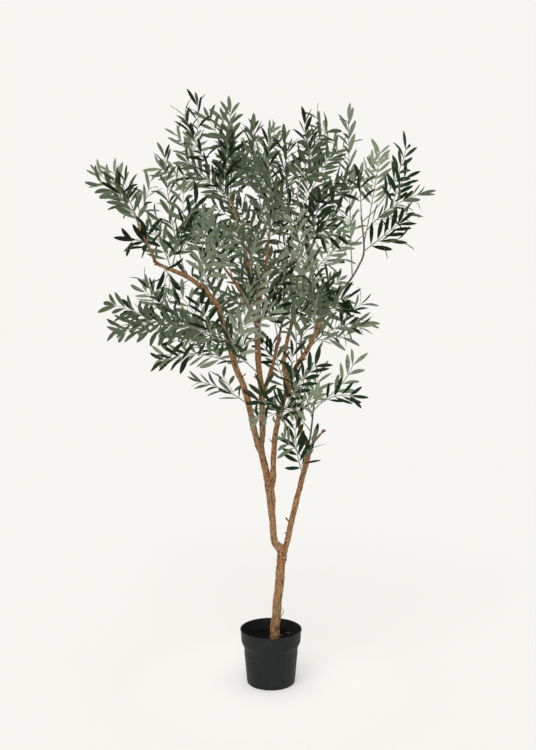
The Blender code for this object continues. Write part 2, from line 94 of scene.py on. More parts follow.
# %% [markdown]
# ## Light
# A white studio is light from all sides with a little more from one: the world is one pale colour, and a
# wide sun adds the direction that lets a round trunk look round. The floor has to be as bright as the world
# behind it, or a line shows where they meet. A matt floor sends back its own whiteness times the light that
# falls on it, so the sun's strength follows from the floor's whiteness: floor * (1 + sun / pi * height) = 1,
# where height is the sine of the sun's angle above the floor.

# %% World and sun
PAPER = (0.930, 0.922, 0.889)
FLOOR_WHITENESS = 0.82
SUN_DIRECTION = np.array((-0.30, -1.00, 0.80))
SUN_WIDTH = math.radians(60)

bpy.context.scene.view_settings.view_transform = "Standard"
world = bpy.data.worlds.new("studio")
world.use_nodes = True
world.node_tree.nodes["Background"].inputs["Color"].default_value = (*PAPER, 1.0)
bpy.context.scene.world = world

sun_height = SUN_DIRECTION[2] / np.linalg.norm(SUN_DIRECTION)
sun_data = bpy.data.lights.new("sun", "SUN")
sun_data.energy = math.pi * (1 / FLOOR_WHITENESS - 1) / sun_height
sun_data.color = [channel / max(PAPER) for channel in PAPER]
sun_data.angle = SUN_WIDTH
sun = bpy.data.objects.new("sun", sun_data)
sun.rotation_euler = (
    math.atan2(math.hypot(SUN_DIRECTION[0], SUN_DIRECTION[1]), SUN_DIRECTION[2]),
    0.0,
    math.atan2(SUN_DIRECTION[0], -SUN_DIRECTION[1]),
)
bpy.context.scene.collection.objects.link(sun)
print(f"sun {sun_data.energy:.2f} W/m2")

# %% [markdown]
# ## Shader sums as Python sums
# A material is a graph of nodes, and drawing that graph by hand hides the sum it stands for. Here a class
# wraps one output socket, and its operators add the Math nodes, so that `1 - mask * 0.5` is written as it is
# read. Every other node comes from one method, which sets the node's own settings first and then its inputs.

# %% Signals and finishes
class Signal:
    """One output of a finish's nodes. Arithmetic on it adds a Math node for each sign."""

    def __init__(self, finish, socket):
        self.finish = finish
        self.socket = socket

    def math(self, operation, first, second):
        return self.finish.node("ShaderNodeMath", {"operation": operation}, {0: first, 1: second})

    def __add__(self, other):
        return self.math("ADD", self, other)

    def __radd__(self, other):
        return self.math("ADD", other, self)

    def __sub__(self, other):
        return self.math("SUBTRACT", self, other)

    def __rsub__(self, other):
        return self.math("SUBTRACT", other, self)

    def __mul__(self, other):
        return self.math("MULTIPLY", self, other)

    def __rmul__(self, other):
        return self.math("MULTIPLY", other, self)

    def __pow__(self, power):
        return self.math("POWER", self, power)


class Finish:
    """A material with one Principled shader, built by expressions on signals."""

    def __init__(self, name, roughness, gloss):
        self.material = bpy.data.materials.new(name)
        self.material.use_nodes = True
        self.tree = self.material.node_tree
        self.shader = self.tree.nodes["Principled BSDF"]
        self.shader.inputs["Roughness"].default_value = roughness
        self.shader.inputs["Specular IOR Level"].default_value = gloss

    def feed(self, socket, value):
        """Links a signal to the socket, or sets the socket to a number, a colour or a vector."""
        if isinstance(value, Signal):
            self.tree.links.new(value.socket, socket)
        elif isinstance(value, tuple) and len(socket.default_value) == len(value) + 1:
            socket.default_value = (*value, 1.0)
        else:
            socket.default_value = value

    def node(self, kind, settings=None, values=None, output=0):
        """One node: its settings, then its inputs. Gives the output as a signal."""
        made = self.tree.nodes.new(kind)
        for name, value in (settings or {}).items():
            setattr(made, name, value)
        for socket, value in (values or {}).items():
            self.feed(made.inputs[socket], value)
        return Signal(self, made.outputs[output])

    def attribute(self, name, output="Vector"):
        return self.node("ShaderNodeAttribute", {"attribute_name": name}, output=output)

    def place(self):
        return self.node("ShaderNodeTexCoord", output="Object")

    def stretched(self, vector, by):
        return self.node("ShaderNodeVectorMath", {"operation": "MULTIPLY"}, {0: vector, 1: by})

    def noise(self, vector, scale, detail=2.0, roughness=0.5):
        values = {"Vector": vector, "Scale": scale, "Detail": detail, "Roughness": roughness}
        return self.node("ShaderNodeTexNoise", None, values)

    def between(self, value, low, high):
        """0 where value is low or less, 1 where it is high or more, and straight in between."""
        values = {"Value": value, "From Min": low, "From Max": high}
        return self.node("ShaderNodeMapRange", {"clamp": True}, values)

    def mixed(self, share, first, second):
        """A colour that is first where share is 0 and second where it is 1."""
        settings = {"data_type": "RGBA", "clamp_factor": True}
        return self.node("ShaderNodeMix", settings, {0: share, 6: first, 7: second}, output=2)

    def relief(self, height, depth, strength=1.0):
        """Feeds the shader's normal with a bump of this height, depth metres from 0 to 1."""
        values = {"Height": height, "Distance": depth, "Strength": strength}
        self.feed(self.shader.inputs["Normal"], self.node("ShaderNodeBump", None, values))

    def colour(self, value):
        self.feed(self.shader.inputs["Base Color"], value)

    def rough(self, value):
        self.feed(self.shader.inputs["Roughness"], value)


# %% [markdown]
# ## Meshes from arrays
# Every surface below is a grid of points that numpy works out in one go: a row of points for each station
# along the piece, and a column for each step round it. One function puts such arrays into a mesh. It can
# carry extra values for each point, which a material reads back as an attribute, and a place on the surface
# for each corner, which is the UV map.

# %% From arrays to an object
UV_MAP = "OFBake"


def piece(name, points, faces, finishes, slots=None, values=None, uv=None, sharp=60):
    """An object at the origin with these points and faces. values holds one array for each attribute, a
    number or a vector for each point; slots gives each face its finish, and uv gives the corners of each
    face their places."""
    mesh = bpy.data.meshes.new(name)
    mesh.from_pydata(points.tolist(), [], faces)
    for finish in finishes:
        mesh.materials.append(finish.material)
    if slots is not None:
        mesh.polygons.foreach_set("material_index", slots.astype(np.int32))
    for title, numbers in (values or {}).items():
        kind, field = ("FLOAT", "value") if numbers.ndim == 1 else ("FLOAT_VECTOR", "vector")
        layer = mesh.attributes.new(title, kind, "POINT")
        layer.data.foreach_set(field, numbers.astype(np.float32).ravel())
    if uv is not None:
        layer = mesh.uv_layers.new(name=UV_MAP)
        layer.uv.foreach_set("vector", uv.astype(np.float32).ravel())
    mesh.shade_smooth()
    mesh.set_sharp_from_angle(angle=math.radians(sharp))
    made = bpy.data.objects.new(name, mesh)
    bpy.context.scene.collection.objects.link(made)
    triangles = sum(len(face) - 2 for face in faces)
    print(f"{name}: {triangles} triangles")
    return made


def grid_faces(rows, columns, first=0):
    """Faces of a grid whose columns close into a ring, one quad between four neighbouring points."""
    start = first + np.arange(rows - 1)[:, None] * columns
    near = np.arange(columns)
    beyond = (near + 1) % columns
    corners = (start + near, start + beyond, start + columns + beyond, start + columns + near)
    return np.stack(corners, -1).reshape(-1, 4)


def end_faces(first, columns, pole, outwards):
    """A fan of triangles from one ring to its pole, wound to point outwards along the line or back."""
    near = np.arange(columns)
    beyond = (near + 1) % columns
    ring = (near, beyond) if outwards else (beyond, near)
    return np.stack([first + ring[0], first + ring[1], np.full(columns, pole)], -1)


# %% [markdown]
# ## Lines
# Wood and wire are both a section carried along a line. The wooden limbs run through a few given
# knots, joined by a curve that keeps a natural flow. The stems and twigs are simpler: each is one arc, given
# by its start, its end and one point that pulls its middle aside.

# %% Curves and the directions beside them
def lengths(vectors):
    """The length of each vector: the root of the sum of its squares."""
    return np.linalg.norm(vectors, axis=-1)


def unit(vectors):
    """Each vector divided by its length."""
    return vectors / lengths(vectors)[..., None]


def smooth(knots, spacing):
    """A Catmull-Rom curve. Between knots b and c, with a before and d after them, each coordinate is
    0.5 (2b + (c - a) t + (2a - 5b + 4c - d) t^2 + (3b - a - 3c + d) t^3) for t from 0 to 1. Gives the points
    and the index of each knot among them."""
    knots = np.array(knots)
    padded = np.vstack([2 * knots[0] - knots[1], knots, 2 * knots[-1] - knots[-2]])
    rows = []
    marks = [0]
    for a, b, c, d in zip(padded, padded[1:], padded[2:], padded[3:]):
        count = max(2, round(float(lengths((c - b)[:3])) / spacing))
        t = np.arange(count)[:, None] / count
        rows.append(0.5 * (2 * b + (c - a) * t + (2 * a - 5 * b + 4 * c - d) * t**2
                           + (3 * b - a - 3 * c + d) * t**3))
        marks.append(marks[-1] + count)
    return np.vstack(rows + [knots[-1:]]), marks


def arc(starts, pulls, ends, t):
    """Quadratic curves: (1 - t)^2 start + 2 t (1 - t) pull + t^2 end, for every t along each curve."""
    t = np.asarray(t)[..., None]
    return (1 - t) ** 2 * starts + 2 * t * (1 - t) * pulls + t**2 * ends


def slope(starts, pulls, ends, t):
    """The direction of those curves: 2 (1 - t) (pull - start) + 2 t (end - pull), made one long."""
    t = np.asarray(t)[..., None]
    return unit((1 - t) * (pulls - starts) + t * (ends - pulls))


def beside(lines):
    """Two directions at right angles to each line and to each other, at every point: the slope crossed with
    the axis that the line runs along least, and that crossed with the slope again."""
    tangents = unit(np.gradient(lines, axis=-2))
    chord = np.abs(lines[..., -1, :] - lines[..., 0, :])
    least = np.eye(3)[np.argmin(chord, axis=-1)]
    normals = unit(np.cross(tangents, least[..., None, :]))
    return normals, np.cross(tangents, normals)


def tubes(lines, radii, sides):
    """Round tubes along lines: point(s, u) = line(s) + radius(s, u) (normal cos u + binormal sin u). lines is
    (tube, ring, 3) and radii (tube, ring, side or 1). Gives points and faces, each end closed by a pole."""
    count, rings, _ = lines.shape
    u = 2 * np.pi * np.arange(sides) / sides
    normals, binormals = beside(lines)
    around = normals[:, :, None] * np.cos(u)[:, None] + binormals[:, :, None] * np.sin(u)[:, None]
    points = lines[:, :, None] + radii[..., None] * around
    size = rings * sides + 2
    points = np.concatenate([points.reshape(count, -1, 3), lines[:, :1], lines[:, -1:]], axis=1)
    faces = []
    shifts = size * np.arange(count)[:, None, None]
    for part in (
        grid_faces(rings, sides),
        end_faces(0, sides, size - 2, False),
        end_faces((rings - 1) * sides, sides, size - 1, True),
    ):
        faces += (part + shifts).reshape(-1, part.shape[1]).tolist()
    return points.reshape(-1, 3), faces


def joined(parts):
    """Several surfaces as one: all their points in a row, and each one's faces counted on from the last."""
    faces = []
    count = 0
    for points, own_faces in parts:
        faces += [[corner + count for corner in face] for face in own_faces]
        count += len(points)
    return np.vstack([points for points, _ in parts]), faces


# %% [markdown]
# ## Where the wood runs
# The limbs' routes belong to the design and are the same as in the frame: the knots of each chain as x, y, z
# and radius. A chain is one smooth line of wood cut into the frame's pieces, so that bark can run on across
# the cuts. The pieces' names say which solids of the frame a finished surface stands for.

# %% Routes of the limbs
CHAINS = {
    "leader": (
        ("trunk", ((0.012, 0.0, 0.150, 0.0178), (0.018, 0.0, 0.225, 0.0165),
                   (0.033, 0.0, 0.383, 0.0162), (0.037, 0.0, 0.460, 0.0168))),
        ("left_stem", ((0.0130, 0.0, 0.500, 0.0130), (0.0035, 0.0, 0.590, 0.0122),
                       (-0.012, 0.0, 0.715, 0.0130), (-0.035, 0.0, 0.830, 0.0118))),
        ("middle_bough", ((-0.030, 0.0, 0.890, 0.0112), (-0.035, 0.015, 1.040, 0.0110),
                          (-0.048, 0.030, 1.180, 0.0108), (-0.047, 0.070, 1.372, 0.0092),
                          (-0.075, 0.090, 1.474, 0.0080), (-0.109, 0.110, 1.589, 0.0064),
                          (-0.126, 0.112, 1.664, 0.0050), (-0.153, 0.115, 1.757, 0.0036))),
    ),
    "right_side": (
        ("right_stem", ((0.038, 0.0, 0.440, 0.0105), (0.056, 0.010, 0.490, 0.0107),
                        (0.096, 0.030, 0.654, 0.0104), (0.128, 0.050, 0.771, 0.0103),
                        (0.136, 0.055, 0.822, 0.0098))),
        ("right_bough", ((0.119, 0.060, 0.864, 0.0088), (0.082, 0.070, 0.980, 0.0082),
                         (0.048, 0.080, 1.140, 0.0076), (0.084, 0.090, 1.320, 0.0066),
                         (0.072, 0.100, 1.420, 0.0058), (0.082, 0.120, 1.564, 0.0038))),
    ),
    "left_side": (
        ("left_bough", ((-0.034, 0.0, 0.822, 0.0105), (-0.052, -0.010, 0.864, 0.0108),
                        (-0.088, -0.040, 1.030, 0.0110), (-0.128, -0.060, 1.136, 0.0105),
                        (-0.168, -0.085, 1.284, 0.0098), (-0.200, -0.100, 1.360, 0.0092))),
        ("left_arm", ((-0.280, -0.110, 1.433, 0.0082), (-0.385, -0.120, 1.480, 0.0066),
                      (-0.408, -0.120, 1.513, 0.0058), (-0.459, -0.120, 1.623, 0.0036))),
    ),
    "front_side": (
        ("front_bough", ((-0.012, 0.0, 0.712, 0.0095), (0.006, -0.020, 0.754, 0.0097),
                         (0.013, -0.040, 0.868, 0.0095), (0.035, -0.060, 0.978, 0.0090),
                         (0.080, -0.090, 1.112, 0.0086), (0.131, -0.105, 1.196, 0.0080),
                         (0.198, -0.130, 1.344, 0.0066))),
        ("right_wand", ((0.262, -0.110, 1.413, 0.0046), (0.303, -0.090, 1.475, 0.0042),
                        (0.325, -0.070, 1.535, 0.0039), (0.318, -0.045, 1.660, 0.0034))),
    ),
    "inner": (
        ("inner_bough", ((-0.047, 0.045, 1.260, 0.0080), (-0.068, 0.020, 1.320, 0.0080),
                         (-0.116, -0.050, 1.406, 0.0066), (-0.165, -0.090, 1.475, 0.0040))),
    ),
    "upper": (
        ("upper_bough", ((-0.047, 0.070, 1.350, 0.0070), (-0.029, 0.100, 1.422, 0.0070),
                         (-0.011, 0.160, 1.564, 0.0054), (-0.004, 0.190, 1.644, 0.0038))),
    ),
    "rear": (
        ("rear_bough", ((-0.034, 0.013, 1.010, 0.0078), (-0.011, 0.090, 1.071, 0.0076),
                        (0.014, 0.170, 1.149, 0.0066), (0.049, 0.330, 1.303, 0.0040))),
    ),
    "cut": (
        ("cut_stub", ((0.134, 0.055, 0.815, 0.0046), (0.160, 0.045, 0.854, 0.0046),
                      (0.191, 0.030, 0.891, 0.0038))),
    ),
    "centre": (
        ("centre_wand", ((0.107, -0.098, 1.160, 0.0044), (0.105, -0.110, 1.234, 0.0042),
                         (0.140, -0.120, 1.345, 0.0040), (0.139, -0.110, 1.489, 0.0038),
                         (0.111, -0.090, 1.644, 0.0036), (0.089, -0.080, 1.722, 0.0034))),
    ),
    "low": (
        ("low_wand", ((0.135, 0.055, 0.822, 0.0042), (0.143, 0.0, 0.890, 0.0040),
                      (0.150, -0.070, 0.996, 0.0034))),
    ),
}
WANDS = ("right_wand", "centre_wand", "low_wand")
RING_SPACING = 0.003

lines = {}
limbs = {}
for chain, pieces in CHAINS.items():
    line, marks = smooth([knot for _, knots in pieces for knot in knots], RING_SPACING)
    lines[chain] = line
    first = 0
    used = 0
    for name, knots in pieces:
        used += len(knots)
        limbs[name] = (chain, first, marks[used - 1])
        first = marks[used - 1]
print(f"{sum(len(line) for line in lines.values())} rings on {len(limbs)} limbs")

# %% [markdown]
# ## Bark
# The sticks are real wood with their thin bark on. Seen close it has three kinds of relief: the stick isn't
# quite round and swells slowly along its length, short fibres run along it and stand up in ridges, and buds
# and side shoots have left knots. All three are added to the radius here, so that they show at the outline
# too. Noise in numpy is a sum of many waves with random directions, which has no seam anywhere in space. For
# the fibres the waves live in a space where the stick is straight: round the ring by cosine and sine, and
# along it squeezed, so that a ridge comes out long.

# %% Relief of the bark
BARK_SIDES = 40
SWELLING = 0.055
SWELLING_SIZE = 0.045
SWELLING_STRETCH = (1.4, 1.4, 0.8)
FIBRE_DEPTH = 0.00085
FIBRE_LEVEL = 0.1
FIBRE_WIDTH = 0.0042
FIBRE_STRETCH = 0.30
GRIT_DEPTH = 0.00042
GRIT_SIZE = 0.0062
FULL_RELIEF_RADIUS = 0.010
RELIEF_LIMITS = (0.45, 1.15)
KNOT_SPACING = 0.040
KNOT_HEIGHT = (0.0006, 0.0019)
KNOT_WIDTH = (0.0018, 0.0038)
PIT_DEPTH = 0.55
PIT_WIDTH = 0.42
KNOT_STAIN = 0.9
KNOTS_SEEN = {
    # distance along the chain from its foot, angle round it with 90 degrees to the front, height and width
    "leader": ((0.178, 56, 0.0004, 0.0030), (0.370, 105, 0.0005, 0.0034), (0.406, 90, 0.0005, 0.0036),
               (0.516, 116, 0.0006, 0.0040)),
}
COLLAR = 0.30
COLLAR_LENGTH = 0.022


def waves(points, size, seed, count=26):
    """Smooth noise about 0 with a spread of about 1: the sum of count cosines of random direction and phase,
    each with a wavelength from 0.7 to 1.6 of size, times the root of 2 / count."""
    chance = np.random.default_rng(seed)
    directions = unit(chance.normal(size=(count, 3)))
    steps = directions * (2 * np.pi / (size * chance.uniform(0.7, 1.6, (count, 1))))
    total = np.zeros(points.shape[:-1])
    for step, phase in zip(steps, chance.uniform(0, 2 * np.pi, count)):
        total += np.cos(points @ step + phase)
    return total * np.sqrt(2 / count)


def along(line):
    """The distance of each point from the line's start, measured along it."""
    return np.append(0.0, np.cumsum(lengths(np.diff(line[:, :3], axis=0))))


def knot_places(line, seed, seen=()):
    """Places of the knots of a line, one every KNOT_SPACING or so, and those that were seen on the tree. Each
    is a row of distance along, angle, height and width."""
    chance = np.random.default_rng(seed)
    count = max(1, int(along(line)[-1] / KNOT_SPACING))
    places = (np.arange(count) + chance.uniform(0.1, 0.9, count)) / count * along(line)[-1]
    drawn = np.column_stack([
        places,
        chance.uniform(0, 2 * np.pi, count),
        chance.uniform(*KNOT_HEIGHT, count),
        chance.uniform(*KNOT_WIDTH, count),
    ])
    placed = [(place, math.radians(angle), height, width) for place, angle, height, width in seen]
    return np.vstack([drawn, *placed])


def barked(line, sides, seed, collar, seen=()):
    """A limb's radius at each ring and side: its own taper, times 1 + a slow swelling, plus ridged fibres,
    grit and knots. A knot is height * exp(-(d / width)^2) at distance d over the surface, less a narrower pit
    of the same form. The foot is widened by collar, which dies away along it. Also gives the grain space and
    the share of knot at each point."""
    distance = along(line)
    u = 2 * np.pi * np.arange(sides) / sides
    radius = line[:, 3:4] * np.ones(sides)
    ring = np.stack([np.cos(u), np.sin(u)], -1)
    grain = np.concatenate([
        radius[..., None] * ring,
        np.broadcast_to(distance[:, None, None], (*radius.shape, 1)),
    ], axis=-1)
    fibres = waves(grain * (1, 1, FIBRE_STRETCH), FIBRE_WIDTH, seed)
    relief = FIBRE_DEPTH * (FIBRE_LEVEL - np.abs(fibres)) + GRIT_DEPTH * waves(grain, GRIT_SIZE, seed + 1)
    relief *= np.clip(radius / FULL_RELIEF_RADIUS, *RELIEF_LIMITS)
    swelling = 1 + SWELLING * waves(grain * SWELLING_STRETCH, SWELLING_SIZE, seed + 2)
    swelling += collar * np.exp(-distance / COLLAR_LENGTH)[:, None]
    knots = np.zeros(radius.shape)
    for place, angle, height, width in knot_places(line, seed + 3, seen):
        turn = np.angle(np.exp(1j * (u - angle))) * radius
        apart = np.hypot(distance[:, None] - place, turn)
        bump = np.exp(-((apart / width) ** 2))
        pit = PIT_DEPTH * np.exp(-((apart / (PIT_WIDTH * width)) ** 2))
        relief += height * (bump - pit)
        knots = np.maximum(knots, np.exp(-((apart / (KNOT_STAIN * width)) ** 2)))
    return radius * swelling + relief, grain, knots


# %% [markdown]
# ## The bark's colour
# Dry olive bark in a room is a warm tan. What makes it look like wood and not clay is that no two patches
# agree: paler and redder patches a few centimetres long, fine streaks along the fibres, darker furrows
# between them, and knots that are nearly black at the heart. The streaks follow the limb, so they read the
# grain attribute that the mesh carries, and the patches lie in plain space.

# %% Finish of the bark
TAN = (0.312, 0.170, 0.080)
RED_TAN = (0.310, 0.137, 0.057)
GREY_TAN = (0.275, 0.184, 0.102)
FURROW = (0.085, 0.040, 0.018)
KNOT_BROWN = (0.040, 0.020, 0.012)
PALE_CHIP = (0.560, 0.370, 0.225)
ROUGH_BROWN = (0.090, 0.036, 0.022)
ROUGH_HEIGHTS = ((0.705, 0.045), (0.455, 0.026), (0.150, 0.050))


def bark_finish():
    finish = Finish("bark", 0.9, 0.05)
    grain = finish.attribute("grain")
    streaks = finish.noise(finish.stretched(grain, (1.0, 1.0, 0.16)), 205.0, 4.0, 0.60)
    speckle = finish.noise(finish.stretched(grain, (1.0, 1.0, 0.55)), 190.0, 4.0, 0.62)
    pits = finish.noise(finish.stretched(grain, (1.0, 1.0, 0.60)), 150.0, 2.0, 0.5)
    patches = finish.noise(finish.place(), 30.0, 3.0, 0.55)
    wide = finish.noise(finish.place(), 9.0, 1.0)
    height = finish.node("ShaderNodeSeparateXYZ", None, {0: finish.place()}, output=2)
    rough = 0.0
    for middle, half in ROUGH_HEIGHTS:
        off = finish.node("ShaderNodeMath", {"operation": "ABSOLUTE"}, {0: height - middle})
        rough = finish.between(off, half, 0.4 * half) + rough
    colour = finish.mixed(finish.between(patches, 0.42, 0.66), TAN, RED_TAN)
    colour = finish.mixed(0.75 * finish.between(wide, 0.48, 0.66), colour, GREY_TAN)
    colour = finish.mixed(0.90 * finish.between(streaks, 0.52, 0.34), colour, FURROW)
    colour = finish.mixed(0.70 * finish.between(speckle, 0.52, 0.68), colour, PALE_CHIP)
    colour = finish.mixed(0.90 * finish.between(pits, 0.42, 0.32), colour, KNOT_BROWN)
    colour = finish.mixed(0.90 * rough * finish.between(speckle, 0.50, 0.40), colour, ROUGH_BROWN)
    colour = finish.mixed(0.85 * finish.attribute("knot", "Fac") ** 1.6, colour, KNOT_BROWN)
    finish.colour(colour)
    finish.rough(0.82 + 0.14 * streaks)
    finish.relief(streaks + speckle, 0.0010, 0.9)
    return finish


bark = bark_finish()

# %% [markdown]
# ## Limbs of wood
# Each chain becomes one closed surface. A side limb starts inside the one that carries it, and a collar
# widens its foot, as wood swells round a branch. The last rings narrow to the limb's tip. Where the front
# bough leaves the stem, a heel of wood runs down beside it: two shoots that grew side by side and fused.

# %% Grow the limbs
BARK_CHAINS = {
    "leader": (-0.06, ("trunk", "left_stem", "middle_bough")),
    "right_side": (0.35, ("right_stem", "right_bough")),
    "left_side": (COLLAR, ("left_bough", "left_arm")),
    "front_side": (COLLAR, ("front_bough",)),
    "inner": (COLLAR, ("inner_bough",)),
    "upper": (COLLAR, ("upper_bough",)),
    "rear": (COLLAR, ("rear_bough",)),
    "cut": (COLLAR, ("cut_stub",)),
}
TIP_RINGS = 4


def limb_surface(name, line, seed, collar, seen=()):
    """One barked tube along the line, its last rings rounded off to the tip."""
    radii, grain, knots = barked(line, BARK_SIDES, seed, collar, seen)
    rounding = np.sqrt(1 - (np.arange(TIP_RINGS) + 0.5) ** 2 / TIP_RINGS**2)
    radii[-TIP_RINGS:] *= rounding[:, None]
    points, faces = tubes(line[None, :, :3], radii[None], BARK_SIDES)
    ends = grain[[0, -1]].mean(axis=1)
    values = {
        "grain": np.vstack([grain.reshape(-1, 3), ends]),
        "knot": np.append(knots.ravel(), (0.0, 0.0)),
    }
    return piece(name, points, faces, [bark], values=values)


HEEL_SEED = 95
HEEL = ((0.0120, -0.002, 0.600, 0.0030), (0.0092, -0.004, 0.648, 0.0070), (0.0035, -0.007, 0.684, 0.0088),
        (0.0070, -0.010, 0.712, 0.0098), (0.0095, -0.016, 0.740, 0.0094), (0.0100, -0.026, 0.790, 0.0060))
heel = limb_surface("bark_heel", smooth(HEEL, RING_SPACING)[0], HEEL_SEED, 0.0)
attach(heel, "root")

for number, (chain, (collar, names)) in enumerate(BARK_CHAINS.items()):
    line = lines[chain][: limbs[names[-1]][2] + 1]
    made = limb_surface("bark_" + chain, line, 10 * number, collar, KNOTS_SEEN.get(chain, ()))
    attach(made, "root")
    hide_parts(*names)

# %% [markdown]
# ## Spurs
# Side shoots that were snapped off leave short spurs, and one strip of bark has lifted from the trunk just
# above the pot and curls back. They are small, but a stick without them looks turned on a lathe. Each is a
# short tube of a few rings, given by its root on the axis of a limb, the direction it leaves in and its
# length.

# %% Spurs and the lifted strip
SPURS = (
    # root, tip, radius at the root, radius at the tip
    ((0.0735, 0.018, 0.556), (0.0525, 0.008, 0.5810), 0.0038, 0.0026),
    ((0.0625, 0.013, 0.520), (0.0490, 0.006, 0.5270), 0.0034, 0.0022),
    ((0.0400, -0.002, 0.447), (0.0580, -0.006, 0.4480), 0.0036, 0.0022),
    ((0.0400, -0.002, 0.434), (0.0570, -0.006, 0.4340), 0.0034, 0.0020),
    ((0.1350, 0.052, 0.790), (0.1540, 0.046, 0.8210), 0.0032, 0.0018),
    ((-0.0120, -0.004, 0.712), (0.0055, -0.016, 0.7220), 0.0030, 0.0018),
    ((-0.1080, -0.050, 1.085), (-0.0880, -0.060, 1.1020), 0.0030, 0.0016),
    ((0.0100, -0.038, 0.850), (-0.0050, -0.044, 0.8700), 0.0028, 0.0015),
    ((0.1850, 0.033, 0.886), (0.1950, 0.029, 0.8935), 0.0056, 0.0046),
    ((-0.3850, -0.120, 1.480), (-0.4010, -0.124, 1.4790), 0.0040, 0.0026),
    ((-0.0450, 0.018, 1.075), (-0.0630, 0.008, 1.0900), 0.0030, 0.0016),
)
STRIP = ((0.0335, -0.008, 0.228), (0.0400, -0.009, 0.240), (0.0440, -0.009, 0.2495),
         (0.0440, -0.009, 0.2570), (0.0405, -0.009, 0.2605))
STRIP_RADIUS = 0.0011
STRIP_TAPER = (1.5, 0.7)
STRIP_SPACING = 0.0015
SPUR_SIDES = 10
SPUR_RINGS = 9
SPUR_ROUGHNESS = 0.14
SPUR_NOISE_SIZE = 0.006
SPUR_NOISE_RADIUS = 0.004
SPUR_SEED = 71
SPUR_KNOT = 0.35


def spurs():
    """All the spurs as one piece: straight tubes whose radius runs from root to tip with a little noise."""
    t = np.linspace(0, 1, SPUR_RINGS)[:, None]
    roots, tips = (np.array([row[side] for row in SPURS]) for side in (0, 1))
    routes = roots[:, None] * (1 - t) + tips[:, None] * t
    near, far = (np.array([row[side] for row in SPURS])[:, None] for side in (2, 3))
    radii = near * (1 - t[:, 0]) + far * t[:, 0]
    u = 2 * np.pi * np.arange(SPUR_SIDES) / SPUR_SIDES
    up, across = routes[:, :, None, 2], routes[:, :, None, 0]
    space = np.broadcast_arrays(up, across + SPUR_NOISE_RADIUS * np.cos(u), SPUR_NOISE_RADIUS * np.sin(u))
    rough = waves(np.stack(space, -1), SPUR_NOISE_SIZE, SPUR_SEED)
    strip, _ = smooth(STRIP, STRIP_SPACING)
    thin = STRIP_RADIUS * np.linspace(*STRIP_TAPER, len(strip))[None, :, None]
    points, faces = joined([
        tubes(routes, radii[:, :, None] * (1 + SPUR_ROUGHNESS * rough), SPUR_SIDES),
        tubes(strip[None], thin, SPUR_SIDES),
    ])
    values = {"grain": points - points.min(axis=0), "knot": np.full(len(points), SPUR_KNOT)}
    return piece("bark_spurs", points, faces, [bark], values=values)


made = spurs()
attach(made, "root")

# %% [markdown]
# ## Wands
# Where the wood gets thinner than a pencil the maker goes on with wire in a fabric sleeve. These wands are
# smooth, pale and grey-green, with a small ring at each joint of the sleeve.

# %% Finish and shape of the wands
STEM_PALE = (0.360, 0.365, 0.300)
STEM_DARK = (0.200, 0.195, 0.150)
SLEEVE_PALE = (0.165, 0.150, 0.125)
SLEEVE_DARK = (0.085, 0.074, 0.060)
WAND_SIDES = 14
JOINT_SPACING = 0.034
JOINT_SWELL = 0.14
JOINT_WIDTH = 0.0022
WAND_SLIMNESS = 0.82
WAND_END = 0.6


def stem_finish(name, pale, dark):
    """A matt sleeve whose colour drifts between two tones along and across the stems."""
    finish = Finish(name, 0.7, 0.08)
    drift = finish.noise(finish.place(), 60.0, 3.0, 0.6)
    fine = finish.noise(finish.place(), 700.0, 2.0)
    finish.colour(finish.mixed(finish.between(drift, 0.36, 0.64), pale, dark))
    finish.rough(0.60 + 0.14 * fine)
    finish.relief(fine, 0.0002, 0.6)
    return finish


def wand(name, line):
    """A tube along the line that swells by JOINT_SWELL at each joint: a narrow bump every JOINT_SPACING."""
    phase = (along(line) / JOINT_SPACING) % 1 - 0.5
    bump = np.exp(-((phase * JOINT_SPACING / JOINT_WIDTH) ** 2))
    radii = WAND_SLIMNESS * line[:, 3] * (1 + JOINT_SWELL * bump)
    radii[-1] *= WAND_END
    points, faces = tubes(line[None, :, :3], radii[None, :, None], WAND_SIDES)
    return piece(name, points, faces, [sleeve])


sleeve = stem_finish("sleeve", SLEEVE_PALE, SLEEVE_DARK)
stem = stem_finish("stem", STEM_PALE, STEM_DARK)
for name in WANDS:
    chain, first, last = limbs[name]
    made = wand("sleeve_" + name, lines[chain][first : last + 1])
    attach(made, "root")
    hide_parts(name)

# %% [markdown]
# ## The pot
# A nursery pot is blown or pressed from thin black plastic: a straight-sided cup, a wider collar that
# stiffens the top, and a rolled lip. It is turned, so one profile says it all. The profile is a list of
# heights and radii, and each corner of it is rounded by cutting the corner twice, which leaves small true
# bevels instead of knife edges. Two faint rings under the collar are where the halves of the mould met.

# %% Pot profile and surface
POT_HEIGHT = 0.188
POT_LIP_RADIUS = 0.110
POT_COLLAR_RADIUS = 0.106
POT_COLLAR_FOOT = 0.144
POT_BODY_RADIUS = 0.0955
POT_SHOULDER = 0.119
POT_BASE_RADIUS = 0.0855
POT_WALL = 0.0026
POT_STEPS = 144


def softened(profile, passes=2, share=0.22):
    """Corner cutting: each stretch keeps only its middle, from share to 1 - share of it, so every corner
    becomes a short bevel, and after a second pass a round. The two ends stay."""
    profile = np.array(profile)
    for _ in range(passes):
        near = profile[:-1] * (1 - share) + profile[1:] * share
        far = profile[:-1] * share + profile[1:] * (1 - share)
        profile = np.vstack([profile[:1], np.stack([near, far], 1).reshape(-1, 2), profile[-1:]])
    return profile


